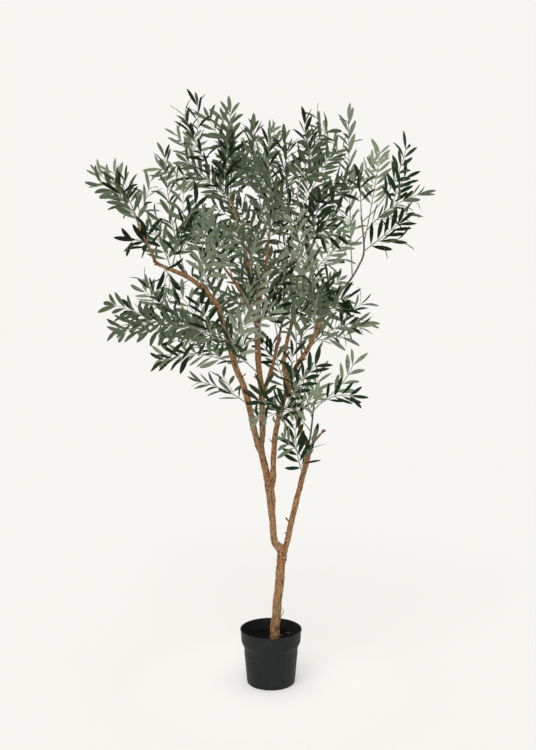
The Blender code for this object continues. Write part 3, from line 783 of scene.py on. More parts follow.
def turned(profile, steps):
    """A profile of (radius, height) turned about Z: x = r cos a, y = r sin a, z = h, closed at both poles.
    The profile starts and ends on the axis."""
    a = 2 * np.pi * np.arange(steps) / steps
    r, h = profile[1:-1, 0:1], profile[1:-1, 1:2]
    rings = np.stack([r * np.cos(a), r * np.sin(a), h + 0 * a], -1)
    poles = [(0.0, 0.0, profile[0, 1]), (0.0, 0.0, profile[-1, 1])]
    points = np.vstack([rings.reshape(-1, 3), poles])
    rows = len(profile) - 2
    last = len(points)
    faces = grid_faces(rows, steps).tolist() + end_faces(0, steps, last - 2, False).tolist()
    return points, faces + end_faces((rows - 1) * steps, steps, last - 1, True).tolist()


def pot_profile():
    """Half section of the pot, from the middle of its underside, up the outside, over the lip and down in."""
    lip = 0.0045
    outside = softened([
        (0.062, 0.0016), (0.066, 0.0), (POT_BASE_RADIUS - 0.0012, 0.0), (POT_BASE_RADIUS + 0.0002, 0.0030),
        (POT_BODY_RADIUS - 0.0012, 0.0960), (POT_BODY_RADIUS - 0.0003, 0.0975),
        (POT_BODY_RADIUS - 0.0004, 0.1000), (POT_BODY_RADIUS, POT_SHOULDER),
        (POT_BODY_RADIUS + 0.0012, POT_SHOULDER + 0.0060),
        (POT_COLLAR_RADIUS - 0.0030, POT_COLLAR_FOOT - 0.0060), (POT_COLLAR_RADIUS, POT_COLLAR_FOOT + 0.0010),
        (POT_LIP_RADIUS - 0.0022, POT_HEIGHT - lip - 0.0012), (POT_LIP_RADIUS, POT_HEIGHT - lip),
        (POT_LIP_RADIUS, POT_HEIGHT - 0.0012), (POT_LIP_RADIUS - 0.0012, POT_HEIGHT),
        (POT_LIP_RADIUS - POT_WALL - 0.0004, POT_HEIGHT - 0.0004),
    ])
    inside = softened([
        (POT_LIP_RADIUS - POT_WALL - 0.0008, POT_HEIGHT - 0.0030),
        (POT_COLLAR_RADIUS - POT_WALL, POT_COLLAR_FOOT), (POT_BODY_RADIUS - POT_WALL, POT_SHOULDER),
        (POT_BASE_RADIUS - POT_WALL, 0.0040), (0.060, 0.0036),
    ])
    return np.vstack([[(0.0, 0.0016)], outside, inside, [(0.0, 0.0036)]])


# %% [markdown]
# The plastic is dyed right through, so it has one dark colour, but handling leaves it finely scuffed: the
# gloss changes in cloudy patches and there is a very fine grain. The scuffs are more visible than any change
# of colour, so most of the pattern goes into the roughness and the bump.

# %% Finish of the pot
POT_BLACK = (0.0085, 0.0092, 0.0108)
POT_DUSTY = (0.0140, 0.0148, 0.0165)


def pot_finish():
    finish = Finish("pot_plastic", 0.5, 0.20)
    scuffs = finish.noise(finish.stretched(finish.place(), (1.0, 1.0, 0.55)), 38.0, 5.0, 0.62)
    grain = finish.noise(finish.place(), 1500.0, 1.0)
    finish.colour(finish.mixed(finish.between(scuffs, 0.40, 0.70), POT_BLACK, POT_DUSTY))
    finish.rough(0.44 + 0.24 * scuffs)
    finish.relief(grain, 0.00012, 0.5)
    return finish


points, faces = turned(pot_profile(), POT_STEPS)
pot = piece("pot_shell", points, faces, [pot_finish()], sharp=50)
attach(pot, "root")
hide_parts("pot")

# %% [markdown]
# ## The fill
# The sticks are cast into a dark mortar and the top is strewn with something like soil. From above one sees
# an uneven, crumbly disc that meets the wall of the pot. It is a turned grid again, whose height is lifted
# by noise of three sizes: slow swells, crumbs and grains. It fades to nothing at the wall.

# %% Fill surface and finish
FILL_TOP = 0.1497
FILL_RADIUS = 0.1034
FILL_SIDE = ((0.0800, 0.0045), (0.0915, 0.1150), (0.0940, 0.1260), (0.1010, 0.1410))
FILL_RELIEF = (
    # height and width of the swells, the crumbs and the grains
    (0.0016, 0.050), (0.0010, 0.012), (0.0007, 0.005),
)
FILL_LIMITS = (-0.0040, 0.0042)
FILL_FADE = 0.006
FILL_SINK = 0.0006
FILL_HUB = 0.02
FILL_SEED = 31
FILL_RINGS = 64
FILL_STEPS = 160
SOIL = (0.0050, 0.0046, 0.0044)
SOIL_BROWN = (0.0110, 0.0088, 0.0070)
SOIL_GRAIN = (0.360, 0.350, 0.330)
SPECKLED_SPOT = (0.074, 0.054, 0.151)


def fill_surface():
    """Rings from the wall inwards: height = top + swells + crumbs + grains, each noise in x and y, times a
    share that falls to 0 at the wall. Under it the fill runs down inside the pot's wall to a flat foot."""
    r = FILL_RADIUS * np.linspace(1.0, FILL_HUB, FILL_RINGS)[:, None]
    a = 2 * np.pi * np.arange(FILL_STEPS) / FILL_STEPS
    flat = np.stack([r * np.cos(a), r * np.sin(a), 0 * r * a], -1)
    height = sum(depth * waves(flat, size, FILL_SEED + row) for row, (depth, size) in enumerate(FILL_RELIEF))
    height = np.clip(height, *FILL_LIMITS) * np.clip((FILL_RADIUS - r) / FILL_FADE, 0, 1)
    top = flat + np.stack([0 * height, 0 * height, FILL_TOP - FILL_SINK + height], -1)
    radii, heights = np.array(FILL_SIDE)[:, :, None].transpose(1, 0, 2)
    side = np.stack([radii * np.cos(a), radii * np.sin(a), heights + 0 * a], -1)
    foot_middle = (0.0, 0.0, FILL_SIDE[0][1])
    points = np.vstack([side.reshape(-1, 3), top.reshape(-1, 3), [foot_middle, top[-1].mean(axis=0)]])
    rows = FILL_RINGS + len(FILL_SIDE)
    last = len(points)
    faces = grid_faces(rows, FILL_STEPS).tolist() + end_faces(0, FILL_STEPS, last - 2, False).tolist()
    return points, faces + end_faces((rows - 1) * FILL_STEPS, FILL_STEPS, last - 1, True).tolist()


def soil_finish():
    finish = Finish("soil", 0.95, 0.04)
    crumbs = finish.noise(finish.place(), 220.0, 4.0, 0.65)
    values = {"Vector": finish.place(), "Scale": 190.0}
    stones = finish.node("ShaderNodeTexVoronoi", {"feature": "F1"}, values)
    rare = finish.noise(finish.place(), 21.0, 1.0)
    values = {0: finish.place(), 1: SPECKLED_SPOT}
    apart = finish.node("ShaderNodeVectorMath", {"operation": "DISTANCE"}, values, output=1)
    colour = finish.mixed(finish.between(crumbs, 0.45, 0.68), SOIL, SOIL_BROWN)
    spread = finish.between(rare, 0.64, 0.68) + 1.6 * finish.between(apart, 0.024, 0.012)
    pale = finish.between(stones, 0.26, 0.18) * spread
    finish.colour(finish.mixed(pale, colour, SOIL_GRAIN))
    finish.rough(0.84 + 0.12 * crumbs)
    finish.relief(crumbs, 0.0012, 0.9)
    return finish


points, faces = fill_surface()
fill = piece("soil_top", points, faces, [soil_finish()])
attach(fill, "root")
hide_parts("fill")

# %% [markdown]
# ## Sprays: where they sit
# A spray is one wired stem with side twigs, all covered in leaves. The table repeats the frame's sprays: the
# limb each is fixed to, at which share of the limb's length, its reach from there to the tip of its last
# leaf, how far its middle arches up, and the seed that its side twigs are drawn from. Three values are added
# here: how full it is, from 0 for a clear sprig to 3, and how many of its twigs out of ten turn their pale
# undersides to the front and carry their pairs crossed. The limbs bear a few shoots as well, so that the
# crown is closed from every side. Three values hold for the whole crown: one is added to the seeds of all
# sprays, one is the first seed of the shoots, and one is added to every count of pale twigs. The two seeds
# mean nothing in themselves: many pairs are tried, in a loop if need be, the crowns that they give are
# compared and one pair is kept, which is quicker than bending twigs one by one.

# %% Table of sprays
SPRAYS = (
    # name, limb, share, reach, arch, seed, fullness, pale and crossed twigs out of ten
    ("left_tip_low", "left_arm", 1.00, (-0.160, -0.080, 0.180), 0.02, 1, 2, 4, 6),
    ("left_tip_high", "left_arm", 0.90, (-0.145, 0.100, 0.285), 0.01, 2, 1, 6, 5),
    ("left_upright", "left_arm", 0.32, (-0.105, 0.160, 0.515), -0.03, 3, 1, 4, 4),
    ("left_arm_inner", "left_arm", 0.22, (0.110, 0.110, 0.215), -0.02, 4, 1, 4, 5),
    ("left_cluster", "left_arm", 0.69, (-0.075, -0.180, 0.055), 0.02, 5, 1, 3, 3),
    ("left_hanging", "left_arm", 0.57, (0.080, -0.080, -0.165), 0.02, 6, 1, 5, 6),
    ("left_arm_front", "left_arm", 0.46, (0.125, -0.205, 0.255), 0.02, 7, 1, 1, 2),
    ("left_low_high", "left_bough", 0.76, (-0.345, -0.030, 0.235), -0.04, 8, 2, 5, 6),
    ("left_low_tip", "left_bough", 0.68, (-0.435, -0.160, 0.090), 0.05, 9, 2, 4, 3),
    ("left_lower", "left_bough", 0.58, (-0.330, 0.165, 0.035), 0.02, 10, 1, 2, 1),
    ("left_bottom", "left_bough", 0.31, (-0.235, 0.075, 0.105), 0.01, 11, 1, 6, 6),
    ("left_front", "left_bough", 0.50, (-0.060, -0.280, 0.220), 0.03, 12, 1, 3, 4),
    ("crown_left", "middle_bough", 0.97, (-0.190, -0.235, 0.330), -0.02, 9, 1, 5, 7),
    ("crown_left_back", "middle_bough", 0.92, (-0.275, 0.185, 0.390), -0.01, 8, 1, 9, 4),
    ("crown_top", "middle_bough", 1.00, (0.0, -0.075, 0.370), -0.02, 15, 2, 5, 5),
    ("middle_front", "middle_bough", 0.14, (0.005, -0.155, 0.140), -0.01, 16, 0, 1, 3),
    ("middle_back", "middle_bough", 0.50, (-0.240, 0.280, 0.120), 0.02, 17, 1, 6, 6),
    ("crown_mid_left", "upper_bough", 0.85, (-0.085, 0.185, 0.505), -0.02, 18, 3, 4, 5),
    ("crown_mid", "upper_bough", 1.00, (-0.005, -0.240, 0.340), 0.02, 19, 1, 4, 5),
    ("crown_back", "upper_bough", 0.70, (0.060, 0.280, 0.240), 0.03, 20, 1, 5, 6),
    ("crown_mid_right", "right_bough", 1.00, (-0.040, -0.240, 0.415), -0.01, 21, 1, 4, 4),
    ("back_right", "right_bough", 0.62, (0.230, 0.250, 0.210), 0.02, 22, 1, 4, 4),
    ("low_front", "right_stem", 0.76, (-0.045, -0.145, 0.240), -0.02, 2, 1, 3, 8),
    ("inner_left", "inner_bough", 1.00, (-0.135, -0.130, 0.155), 0.02, 24, 1, 4, 5),
    ("crown_right", "centre_wand", 1.00, (0.120, -0.160, 0.260), 0.03, 25, 2, 5, 4),
    ("front_middle", "centre_wand", 0.58, (0.020, -0.190, 0.240), 0.02, 26, 0, 0, 0),
    ("centre_right", "centre_wand", 0.72, (0.140, -0.160, 0.040), 0.02, 27, 1, 2, 3),
    ("centre_back_right", "centre_wand", 0.51, (0.160, 0.175, 0.160), 0.01, 28, 1, 5, 3),
    ("front_right", "front_bough", 0.82, (0.0, -0.330, 0.170), 0.03, 29, 1, 5, 3),
    ("right_low", "front_bough", 0.73, (0.270, 0.080, 0.135), 0.03, 30, 2, 3, 8),
    ("right_cluster", "front_bough", 0.98, (0.085, -0.190, 0.040), 0.01, 31, 1, 2, 3),
    ("crown_right_far", "right_wand", 0.35, (0.005, 0.200, 0.655), -0.03, 6, 1, 0, 6),
    ("right_mid", "right_wand", 0.64, (0.160, -0.100, 0.125), 0.0, 33, 1, 1, 5),
    ("right_back", "right_wand", 0.72, (0.110, 0.325, 0.440), -0.01, 7, 0, 9, 0),
    ("right_tip_mid", "right_wand", 0.80, (0.250, 0.0, 0.185), 0.02, 35, 1, 3, 2),
    ("right_tip_high", "right_wand", 0.93, (0.210, 0.130, 0.345), -0.03, 2, 0, 1, 1),
    ("right_top", "right_wand", 1.00, (-0.025, -0.175, 0.150), 0.0, 37, 0, 6, 3),
    ("low_right_high", "low_wand", 1.00, (0.185, -0.030, 0.195), -0.02, 38, 0, 0, 1),
    ("low_right_low", "low_wand", 0.85, (0.170, -0.150, 0.090), 0.02, 39, 0, 1, 1),
    ("low_right_inner", "low_wand", 0.70, (-0.055, -0.085, 0.240), -0.01, 40, 1, 6, 5),
    ("rear_high", "rear_bough", 1.00, (0.020, 0.130, 0.330), 0.02, 41, 1, 4, 4),
    ("rear_left", "rear_bough", 0.85, (-0.240, 0.150, 0.170), 0.03, 42, 1, 4, 4),
    ("rear_right", "rear_bough", 0.93, (0.240, 0.120, 0.150), 0.03, 43, 1, 4, 4),
)

SHOOTS = (
    # limb, shares of its length between which they leave it, their number
    ("left_bough", 0.60, 1.00, 2),
    ("left_arm", 0.05, 1.00, 3),
    ("middle_bough", 0.15, 1.00, 4),
    ("upper_bough", 0.15, 1.00, 3),
    ("right_bough", 0.15, 1.00, 3),
    ("front_bough", 0.20, 0.95, 3),
    ("inner_bough", 0.20, 1.00, 2),
    ("rear_bough", 0.40, 1.00, 3),
    ("centre_wand", 0.20, 1.00, 2),
    ("right_wand", 0.20, 1.00, 1),
    ("low_wand", 0.15, 1.00, 1),
)
CROWN_SEED = 350
SHOOT_SEED = 110
MORE_PALE = 3

# %% [markdown]
# ## Growing the twigs
# The frame's rule is written again here and carried further. A stem bears side twigs on alternate sides,
# shorter towards its tip, each leaving at TWIG_ANGLE and curving back to TWIG_END_ANGLE. The same rule on
# the side twigs gives finer twigs. A twig is kept up to where it would run deep into another spray's room,
# as the wired sprays of the real tree are bent clear of each other, and so some sky stays between them.

# %% The rule of growth
TIP_LEAF = 0.072
TWIG_SPACING = 0.140
TWIG_SHARE = 0.52
TWIG_ANGLE = math.radians(48)
TWIG_END_ANGLE = math.radians(36)
TWIG_SPREAD = math.radians(28)
FIRST_TWIG = 0.75
PAST_LAST_TWIG = 0.9
TWIG_JITTER = 0.15
TWIG_LENGTHS = (0.85, 1.15)
ROLL_SPREAD = 0.6
FRONT = (0.12, -1.0, 0.08)
NEARLY_UPRIGHT = 0.2
SHORTEST_TWIG = 0.070
LONGEST_TWIG = 0.20
BARE_SHARE = 0.20
SPRIG_BARE_SHARE = 0.42
TWIG_BARE_SHARE = 0.16
SPRAY_ROLL = 0.7
SPACE_MARGIN = -0.012
LAST_FOOT = 0.985
LEAST_KEPT = 0.4
GOLDEN_ANGLE = math.radians(137.5)
SHOOT_LENGTH = (0.24, 0.44)
SHOOT_LEAN = (math.radians(35), math.radians(80))
SHOOT_RISE = 0.35
SHOOT_ARCH = (-0.02, 0.03)
SHOOT_TURN = 0.4
SHOOT_JITTER = (0.2, 0.8)
SHARE_STEP = 0.03
SHOOT_LOOKS = (1, 4, 4)
ROOM = 0.03


@dataclass
class Twig:
    """A stem or twig: one arc from start to end, the roll of its leaves about it and its bare share."""

    start: np.ndarray
    pull: np.ndarray
    end: np.ndarray
    roll: float
    bare: float
    order: int

    def length(self):
        return float(lengths(self.end - self.start))

    def cut(self, share):
        """The part of the arc up to this share: its pull slides back along the first stretch."""
        middle = arc(self.start, self.pull, self.end, share)
        pull = self.start + share * (self.pull - self.start)
        return Twig(self.start, pull, middle, self.roll, self.bare, self.order)


def limb_point(limb, share):
    """The point on a limb's axis at this share of its length."""
    chain, first, last = limbs[limb]
    route = lines[chain][first : last + 1, :3]
    distance = along(route)
    return np.array([np.interp(share * distance[-1], distance, column) for column in route.T])


def facing(tangent):
    """The direction beside a twig that lies across the front view."""
    return unit(np.cross(tangent, FRONT))


def turned_about(vector, axis, angle):
    """A vector at right angles to the axis, turned about it: v cos a + (axis x v) sin a."""
    angle = np.asarray(angle)[..., None]
    return vector * np.cos(angle) + np.cross(axis, vector) * np.sin(angle)


def stem_of(limb, share, reach, arch, seed, fullness):
    """A spray's stem: foot + reach t, shorter than the reach by its tip leaf, its middle lifted by arch, or
    pulled to the front where the reach is nearly upright. A sprig without side twigs is bare for longer."""
    foot = limb_point(limb, min(share, LAST_FOOT))
    reach = np.array(reach)
    reach = reach * (1 - TIP_LEAF / lengths(reach))
    up = np.array((0.0, 0.0, 1.0)) - unit(reach) * unit(reach)[2]
    lift = unit(up) if lengths(up) > NEARLY_UPRIGHT else np.array((0.0, -1.0, 0.0))
    roll = random.Random(seed).uniform(-SPRAY_ROLL, SPRAY_ROLL)
    bare = BARE_SHARE if fullness > 0 else SPRIG_BARE_SHARE
    return Twig(foot, foot + reach / 2 + 2 * arch * lift, foot + reach, roll, bare, 0)


def shoots_on(limb, first, last, count, seed):
    """Shoots of a limb between two shares of its length, as rows like a spray's. They turn round the limb by
    the golden angle, lean out from it, rise a little and stay inside the room that the frame takes up."""
    chance = random.Random(seed)
    first_turn = chance.uniform(0, 2 * math.pi)
    rows = []
    for number in range(count):
        share = first + (last - first) * (number + chance.uniform(*SHOOT_JITTER)) / count
        after, before = limb_point(limb, min(share + SHARE_STEP, 1.0)), limb_point(limb, share - SHARE_STEP)
        tangent = unit(after - before)
        turn = first_turn + GOLDEN_ANGLE * number + chance.uniform(-SHOOT_TURN, SHOOT_TURN)
        lean = chance.uniform(*SHOOT_LEAN)
        reach = tangent * math.cos(lean) + turned_about(facing(tangent), tangent, turn) * math.sin(lean)
        reach = unit(reach + SHOOT_RISE * np.array((0.0, 0.0, 1.0))) * chance.uniform(*SHOOT_LENGTH)
        arch = chance.uniform(*SHOOT_ARCH)
        tip = limb_point(limb, share) + reach
        room = zip(cad_box[0], tip, cad_box[1])
        if all(low + ROOM < place < high - ROOM for low, place, high in room):
            rows.append((limb, share, reach, arch, seed * 10 + number, *SHOOT_LOOKS))
    return rows


def side_twigs(parent, chance, roll, spacing, share_of, shortest, longest):
    """Twigs on alternate sides of a parent: foot at share s of it, length share_of * parent * (1.15 - 0.6 s)
    within its limits, turned round the parent by half a turn each time, with a random spread."""
    count = max(1, round(parent.length() / spacing))
    grown = []
    for number in range(count):
        jitter = chance.uniform(-TWIG_JITTER, TWIG_JITTER)
        share = (number + FIRST_TWIG + jitter) / (count + PAST_LAST_TWIG)
        foot = arc(parent.start, parent.pull, parent.end, share)
        tangent = slope(parent.start, parent.pull, parent.end, share)
        turn = roll + math.pi * number + chance.uniform(-TWIG_SPREAD, TWIG_SPREAD)
        side = turned_about(facing(tangent), tangent, turn)
        reach = share_of * parent.length() * (1.15 - 0.6 * share) * chance.uniform(*TWIG_LENGTHS)
        reach = min(max(reach, shortest), longest)
        outwards = tangent * math.cos(TWIG_ANGLE) + side * math.sin(TWIG_ANGLE)
        end = foot + reach * (tangent * math.cos(TWIG_END_ANGLE) + side * math.sin(TWIG_END_ANGLE))
        leaf_roll = turn + chance.uniform(-ROLL_SPREAD, ROLL_SPREAD)
        pull = foot + 0.5 * reach * outwards
        grown.append(Twig(foot, pull, end, leaf_roll, TWIG_BARE_SHARE, parent.order + 1))
    return grown


# %% [markdown]
# The stems come first, because the spaces between them decide where twigs may go. A clear sprig stays a
# single stem. A fuller spray gets side twigs, the next fuller a second set of them in between, and the
# fullest finer twigs on these.

# %% Grow every spray
STEM_SAMPLES = 40
FILLER_SPACING = 0.110
FILLER_SHARE = 0.36
SHORTEST_FILLER = 0.8 * SHORTEST_TWIG
LONGEST_FILLER = 0.8 * LONGEST_TWIG
FINE_SPACING = 0.075
FINE_SHARE = 0.50
SHORTEST_FINE = 0.030
LONGEST_FINE = 0.085
TESTED_SHARES = np.linspace(0.1, 1.0, 16)
STEP_BACK = 0.05
ALL_SPRAYS = [(*row[1:5], CROWN_SEED + row[5], *row[6:]) for row in SPRAYS]
for number, shoots in enumerate(SHOOTS):
    ALL_SPRAYS += shoots_on(*shoots, SHOOT_SEED + number)

stems = [stem_of(*row[:6]) for row in ALL_SPRAYS]
stem_samples = np.array([
    arc(each.start, each.pull, each.end, np.linspace(0, 1, STEM_SAMPLES)) for each in stems
])


def nearest_stem(points):
    """For each point, its distance to the nearest sample of every stem: (point, stem)."""
    apart = points[:, None, None] - stem_samples[None]
    return lengths(apart).min(axis=2)


def kept(twig, own):
    """The twig up to another stem's room, or None if too little of it is left."""
    route = arc(twig.start, twig.pull, twig.end, TESTED_SHARES)
    near = nearest_stem(route)
    others = np.delete(near, own, axis=1).min(axis=1)
    inside = near[:, own] + SPACE_MARGIN < others
    if inside.all():
        return twig
    share = TESTED_SHARES[int(np.argmin(inside))] - STEP_BACK
    enough = share > LEAST_KEPT and twig.length() * share > SHORTEST_FINE
    return twig.cut(share) if enough else None


def spray(number):
    """All the twigs of a spray: its stem and, as it is fuller, side twigs, fillers and finer twigs."""
    seed, fullness = ALL_SPRAYS[number][4:6]
    parent = stems[number]
    chance = random.Random(seed)
    roll = chance.uniform(-SPRAY_ROLL, SPRAY_ROLL)
    twigs = []
    if fullness > 0:
        twigs = side_twigs(parent, chance, roll, TWIG_SPACING, TWIG_SHARE, SHORTEST_TWIG, LONGEST_TWIG)
    if fullness > 1:
        twigs += side_twigs(parent, chance, roll + 0.5 * math.pi, FILLER_SPACING, FILLER_SHARE,
                            SHORTEST_FILLER, LONGEST_FILLER)
    if fullness > 2:
        for twig in list(twigs):
            twigs += side_twigs(twig, chance, twig.roll, FINE_SPACING, FINE_SHARE,
                                SHORTEST_FINE, LONGEST_FINE)
    return [parent] + [twig for twig in (kept(each, number) for each in twigs) if twig]


grown = [spray(number) for number in range(len(ALL_SPRAYS))]
print(f"{sum(len(twigs) for twigs in grown)} stems and twigs in {len(grown)} sprays")

# %% [markdown]
# ## Twigs as tubes
# All twigs of one order have the same number of rings and sides, so their tubes come out of one array. They
# taper to the tip. The thin ones have four sides only: at a millimetre thick nobody can count them.

# %% Make the stems and twigs
STEM_RADII = ((0.0023, 0.0013), (0.0015, 0.0009), (0.0010, 0.0006))
STEM_RINGS = (16, 8, 5)
STEM_SIDES = (8, 5, 4)


def twig_tubes(order):
    """Tubes of every twig of this order: the radius runs evenly from foot to tip."""
    twigs = [twig for twigs in grown for twig in twigs if twig.order == order]
    starts, pulls, ends = (np.array([getattr(twig, name) for twig in twigs])[:, None]
                           for name in ("start", "pull", "end"))
    t = np.linspace(0, 1, STEM_RINGS[order])
    routes = arc(starts, pulls, ends, t)
    radii = np.linspace(*STEM_RADII[order], STEM_RINGS[order])
    return tubes(routes, np.broadcast_to(radii[None, :, None], (*routes.shape[:2], 1)), STEM_SIDES[order])


points, faces = joined([twig_tubes(order) for order in range(len(STEM_RADII))])
twig_piece = piece("spray_stems", points, faces, [stem])
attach(twig_piece, "root")
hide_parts(*(row[0] for row in SPRAYS))

# %% [markdown]
# ## One leaf
# The leaves are stamped from fabric: narrow, widest at the middle, drawn to a short point, with a short
# stalk. A leaf is a surface of two parameters: t runs from stalk to tip along an arc that droops, and the
# other runs round a thin lens-shaped section of four points, edge, top, edge, underside. The half-width
# follows sin(pi s^1.16)^0.64, where s runs from 0 at the blade's foot to 1 at its tip. The edges are lifted,
# which folds the blade a little along its rib. Twenty-eight faces are enough, since there are thousands of
# leaves.

# %% Shape of a leaf
LEAF_LENGTH = 0.081
LEAF_WIDTH = 0.0170
LEAF_THICKNESS = 0.0007
LEAF_STALK = 0.07
LEAF_STATIONS = np.array((0.0, 0.07, 0.16, 0.33, 0.53, 0.73, 0.90, 1.0))
STALK_WIDTH = 0.0013
LEAF_FOLD = 0.22


def half_width(t):
    """Half the blade's width at share t of the leaf, for a leaf one wide."""
    s = np.clip((t - LEAF_STALK) / (1 - LEAF_STALK), 0, 1)
    return 0.5 * np.sin(np.pi * s**1.16) ** 0.64


def leaf_points(roots, directions, faces, sizes, widths, bends, sweeps, twists):
    """Points of every leaf: the centre line is an arc of total turn bend, swept sideways, centre(t) = root
    + size (sin(bend t) / bend * direction - (1 - cos(bend t)) / bend * face + t^2 * sweep). The section
    stands on it and turns about it by twist (t - 1/2)."""
    t = LEAF_STATIONS[1:-1][None, :, None]
    bend, twist, sizes = (values[:, None, None] for values in (bends, twists, sizes))
    directions, faces, sweeps = directions[:, None], faces[:, None], sweeps[:, None]
    sides = np.cross(directions, faces)

    def centre(t):
        drop = (1 - np.cos(bend * t)) / bend
        return sizes * (np.sin(bend * t) / bend * directions - drop * faces + t**2 * sweeps)

    turn = twist * (t - 0.5)
    flat_up = faces * np.cos(bend * t) + directions * np.sin(bend * t)
    up = flat_up * np.cos(turn) - sides * np.sin(turn)
    across = sides * np.cos(turn) + flat_up * np.sin(turn)
    half = np.maximum(half_width(t) * widths[:, None, None], STALK_WIDTH / 2)
    rise = LEAF_FOLD * half * up
    thick = LEAF_THICKNESS / 2 * up
    middle = roots[:, None] + centre(t)
    section = np.stack([
        middle + half * across + rise, middle + thick, middle - half * across + rise, middle - thick,
    ], axis=2)
    tips = roots[:, None] + centre(np.ones((1, 1, 1)))
    rings = section.reshape(len(roots), -1, 3)
    return np.concatenate([rings, roots[:, None], tips], axis=1)


def leaf_faces():
    """Faces of one leaf: quads between the sections and a fan at each end. A face is upper if it touches the
    point on top, so each section's first two sides are upper and its last two under."""
    rows = len(LEAF_STATIONS) - 2
    quads = grid_faces(rows, 4)
    foot = end_faces(0, 4, rows * 4, False)
    tip = end_faces((rows - 1) * 4, 4, rows * 4 + 1, True)
    under = np.tile((0, 0, 1, 1), rows - 1)
    return quads, np.vstack([foot, tip]), np.concatenate([under, (0, 0, 1, 1), (0, 0, 1, 1)])


# %% [markdown]
# ## Leaves along the twigs
# Leaves stand in opposite pairs along a twig, and half the twigs end in a single one. They are wired in two
# ways. Flat twigs come as they leave the mould: all pairs lie in one plane like the barbs of a feather and
# show the same side. They are turned most of the way to the front, as whoever sets up the tree bends its
# sprays for the room. On crossed twigs each pair is turned by a quarter from the last and each leaf looks at
# the twig's tip, as on the living tree: from the front one sees pale undersides before the twig, dark faces
# behind it and the sharp edges of those to the sides. A leaf that would run into a limb is left out.

# %% Grow the leaves
PAIR_SPACING = (0.033, 0.028)
PAIR_TURN = math.radians(9)
FACING_SHARE = 0.4
LEAF_ANGLE = math.radians(41)
LEAF_LEANS = (0.90, 1.10)
LEAN_AT_FOOT = 1.15
LESS_LEAN_AT_TIP = 0.55
LEAF_SIZES = (0.86, 1.10)
SHORTER_AT_TIP = 0.12
LAST_PAIR = 0.97
TIP_LEAF_CHANCE = 0.5
TIP_LEAF_SIZES = (0.80, 0.98)
TIP_LEAF_OVERLAP = 0.002
LEAF_WIDTHS = (0.80, 1.14)
LEAF_TILT = 0.42
LEAF_BEND = (0.28, 0.36)
LEAST_BEND = 0.03
LEAF_SWEEP = (0.12, 0.05)
LEAF_TWIST = 0.35
LIMB_CLEARANCE = 0.0015
CLEARED_SHARES = (0.3, 0.55, 0.8, 1.0)
LEAF_SEED = 1000
ORDER_SIZE = (1.0, 0.97, 0.86)


def leaves_of(twig, chance, pale, crossed):
    """Rows of (root, direction, face, size, away) for the leaves of one twig. A pair stands every
    PAIR_SPACING from the bare foot on; its leaves lean from the twig by LEAF_ANGLE, less towards the tip. A
    flat leaf's face is tangent x beside; a crossed one's is tangent sin a - beside cos a, which looks at the
    tip and not away."""
    length = twig.length()
    pairs = max(2, 1 + round(length * (LAST_PAIR - twig.bare) / PAIR_SPACING[int(crossed)]))
    count = np.repeat(np.arange(pairs), 2)
    share = twig.bare + (LAST_PAIR - twig.bare) * count / (pairs - 1)
    foot = arc(twig.start, twig.pull, twig.end, share)
    tangent = slope(twig.start, twig.pull, twig.end, share)
    roll = twig.roll if crossed else FACING_SHARE * (((twig.roll + math.pi / 2) % math.pi) - math.pi / 2)
    turn = roll + np.repeat(chance.uniform(-PAIR_TURN, PAIR_TURN, pairs), 2)
    turn = turn + 0.5 * math.pi * (count % 2) * crossed
    sign = np.tile((1.0, -1.0), pairs)[:, None]
    side = sign * turned_about(facing(tangent), tangent, turn)
    lean = LEAF_ANGLE * (LEAN_AT_FOOT - LESS_LEAN_AT_TIP * share)
    angle = (lean * chance.uniform(*LEAF_LEANS, 2 * pairs))[:, None]
    direction = tangent * np.cos(angle) + side * np.sin(angle)
    away = side * np.cos(angle) - tangent * np.sin(angle)
    normal = -away if crossed else sign * np.cross(tangent, side)
    normal = normal + chance.uniform(-LEAF_TILT, LEAF_TILT, (2 * pairs, 1)) * np.cross(direction, normal)
    taper = 1 - SHORTER_AT_TIP * share
    size = LEAF_LENGTH * ORDER_SIZE[twig.order] * taper * chance.uniform(*LEAF_SIZES, 2 * pairs)
    if chance.uniform() < TIP_LEAF_CHANCE:
        tip = slope(twig.start, twig.pull, twig.end, 1.0)
        tip_face = np.cross(tip, turned_about(facing(tip), tip, roll))
        foot = np.vstack([foot, twig.end - TIP_LEAF_OVERLAP * tip])
        direction = np.vstack([direction, tip])
        normal = np.vstack([normal, tip_face])
        away = np.vstack([away, 0.0 * tip])
        size = np.append(size, TIP_LEAF * ORDER_SIZE[twig.order] * chance.uniform(*TIP_LEAF_SIZES))
    if not crossed:
        normal = normal * np.where((normal[:, 1:2] < 0) != pale, 1.0, -1.0)
    return foot, direction, normal, size, away


def clear_of_limbs(roots, directions, sizes):
    """Whether each leaf stays outside the wood: four points along it against the limbs' axes and radii."""
    axes = np.vstack([line[::3] for line in lines.values()])
    free = np.ones(len(roots), bool)
    for share in CLEARED_SHARES:
        points = roots + share * sizes[:, None] * directions
        gap = (lengths(points[:, None] - axes[:, :3]) - axes[:, 3]).min(axis=1)
        free &= gap > LIMB_CLEARANCE
    return free


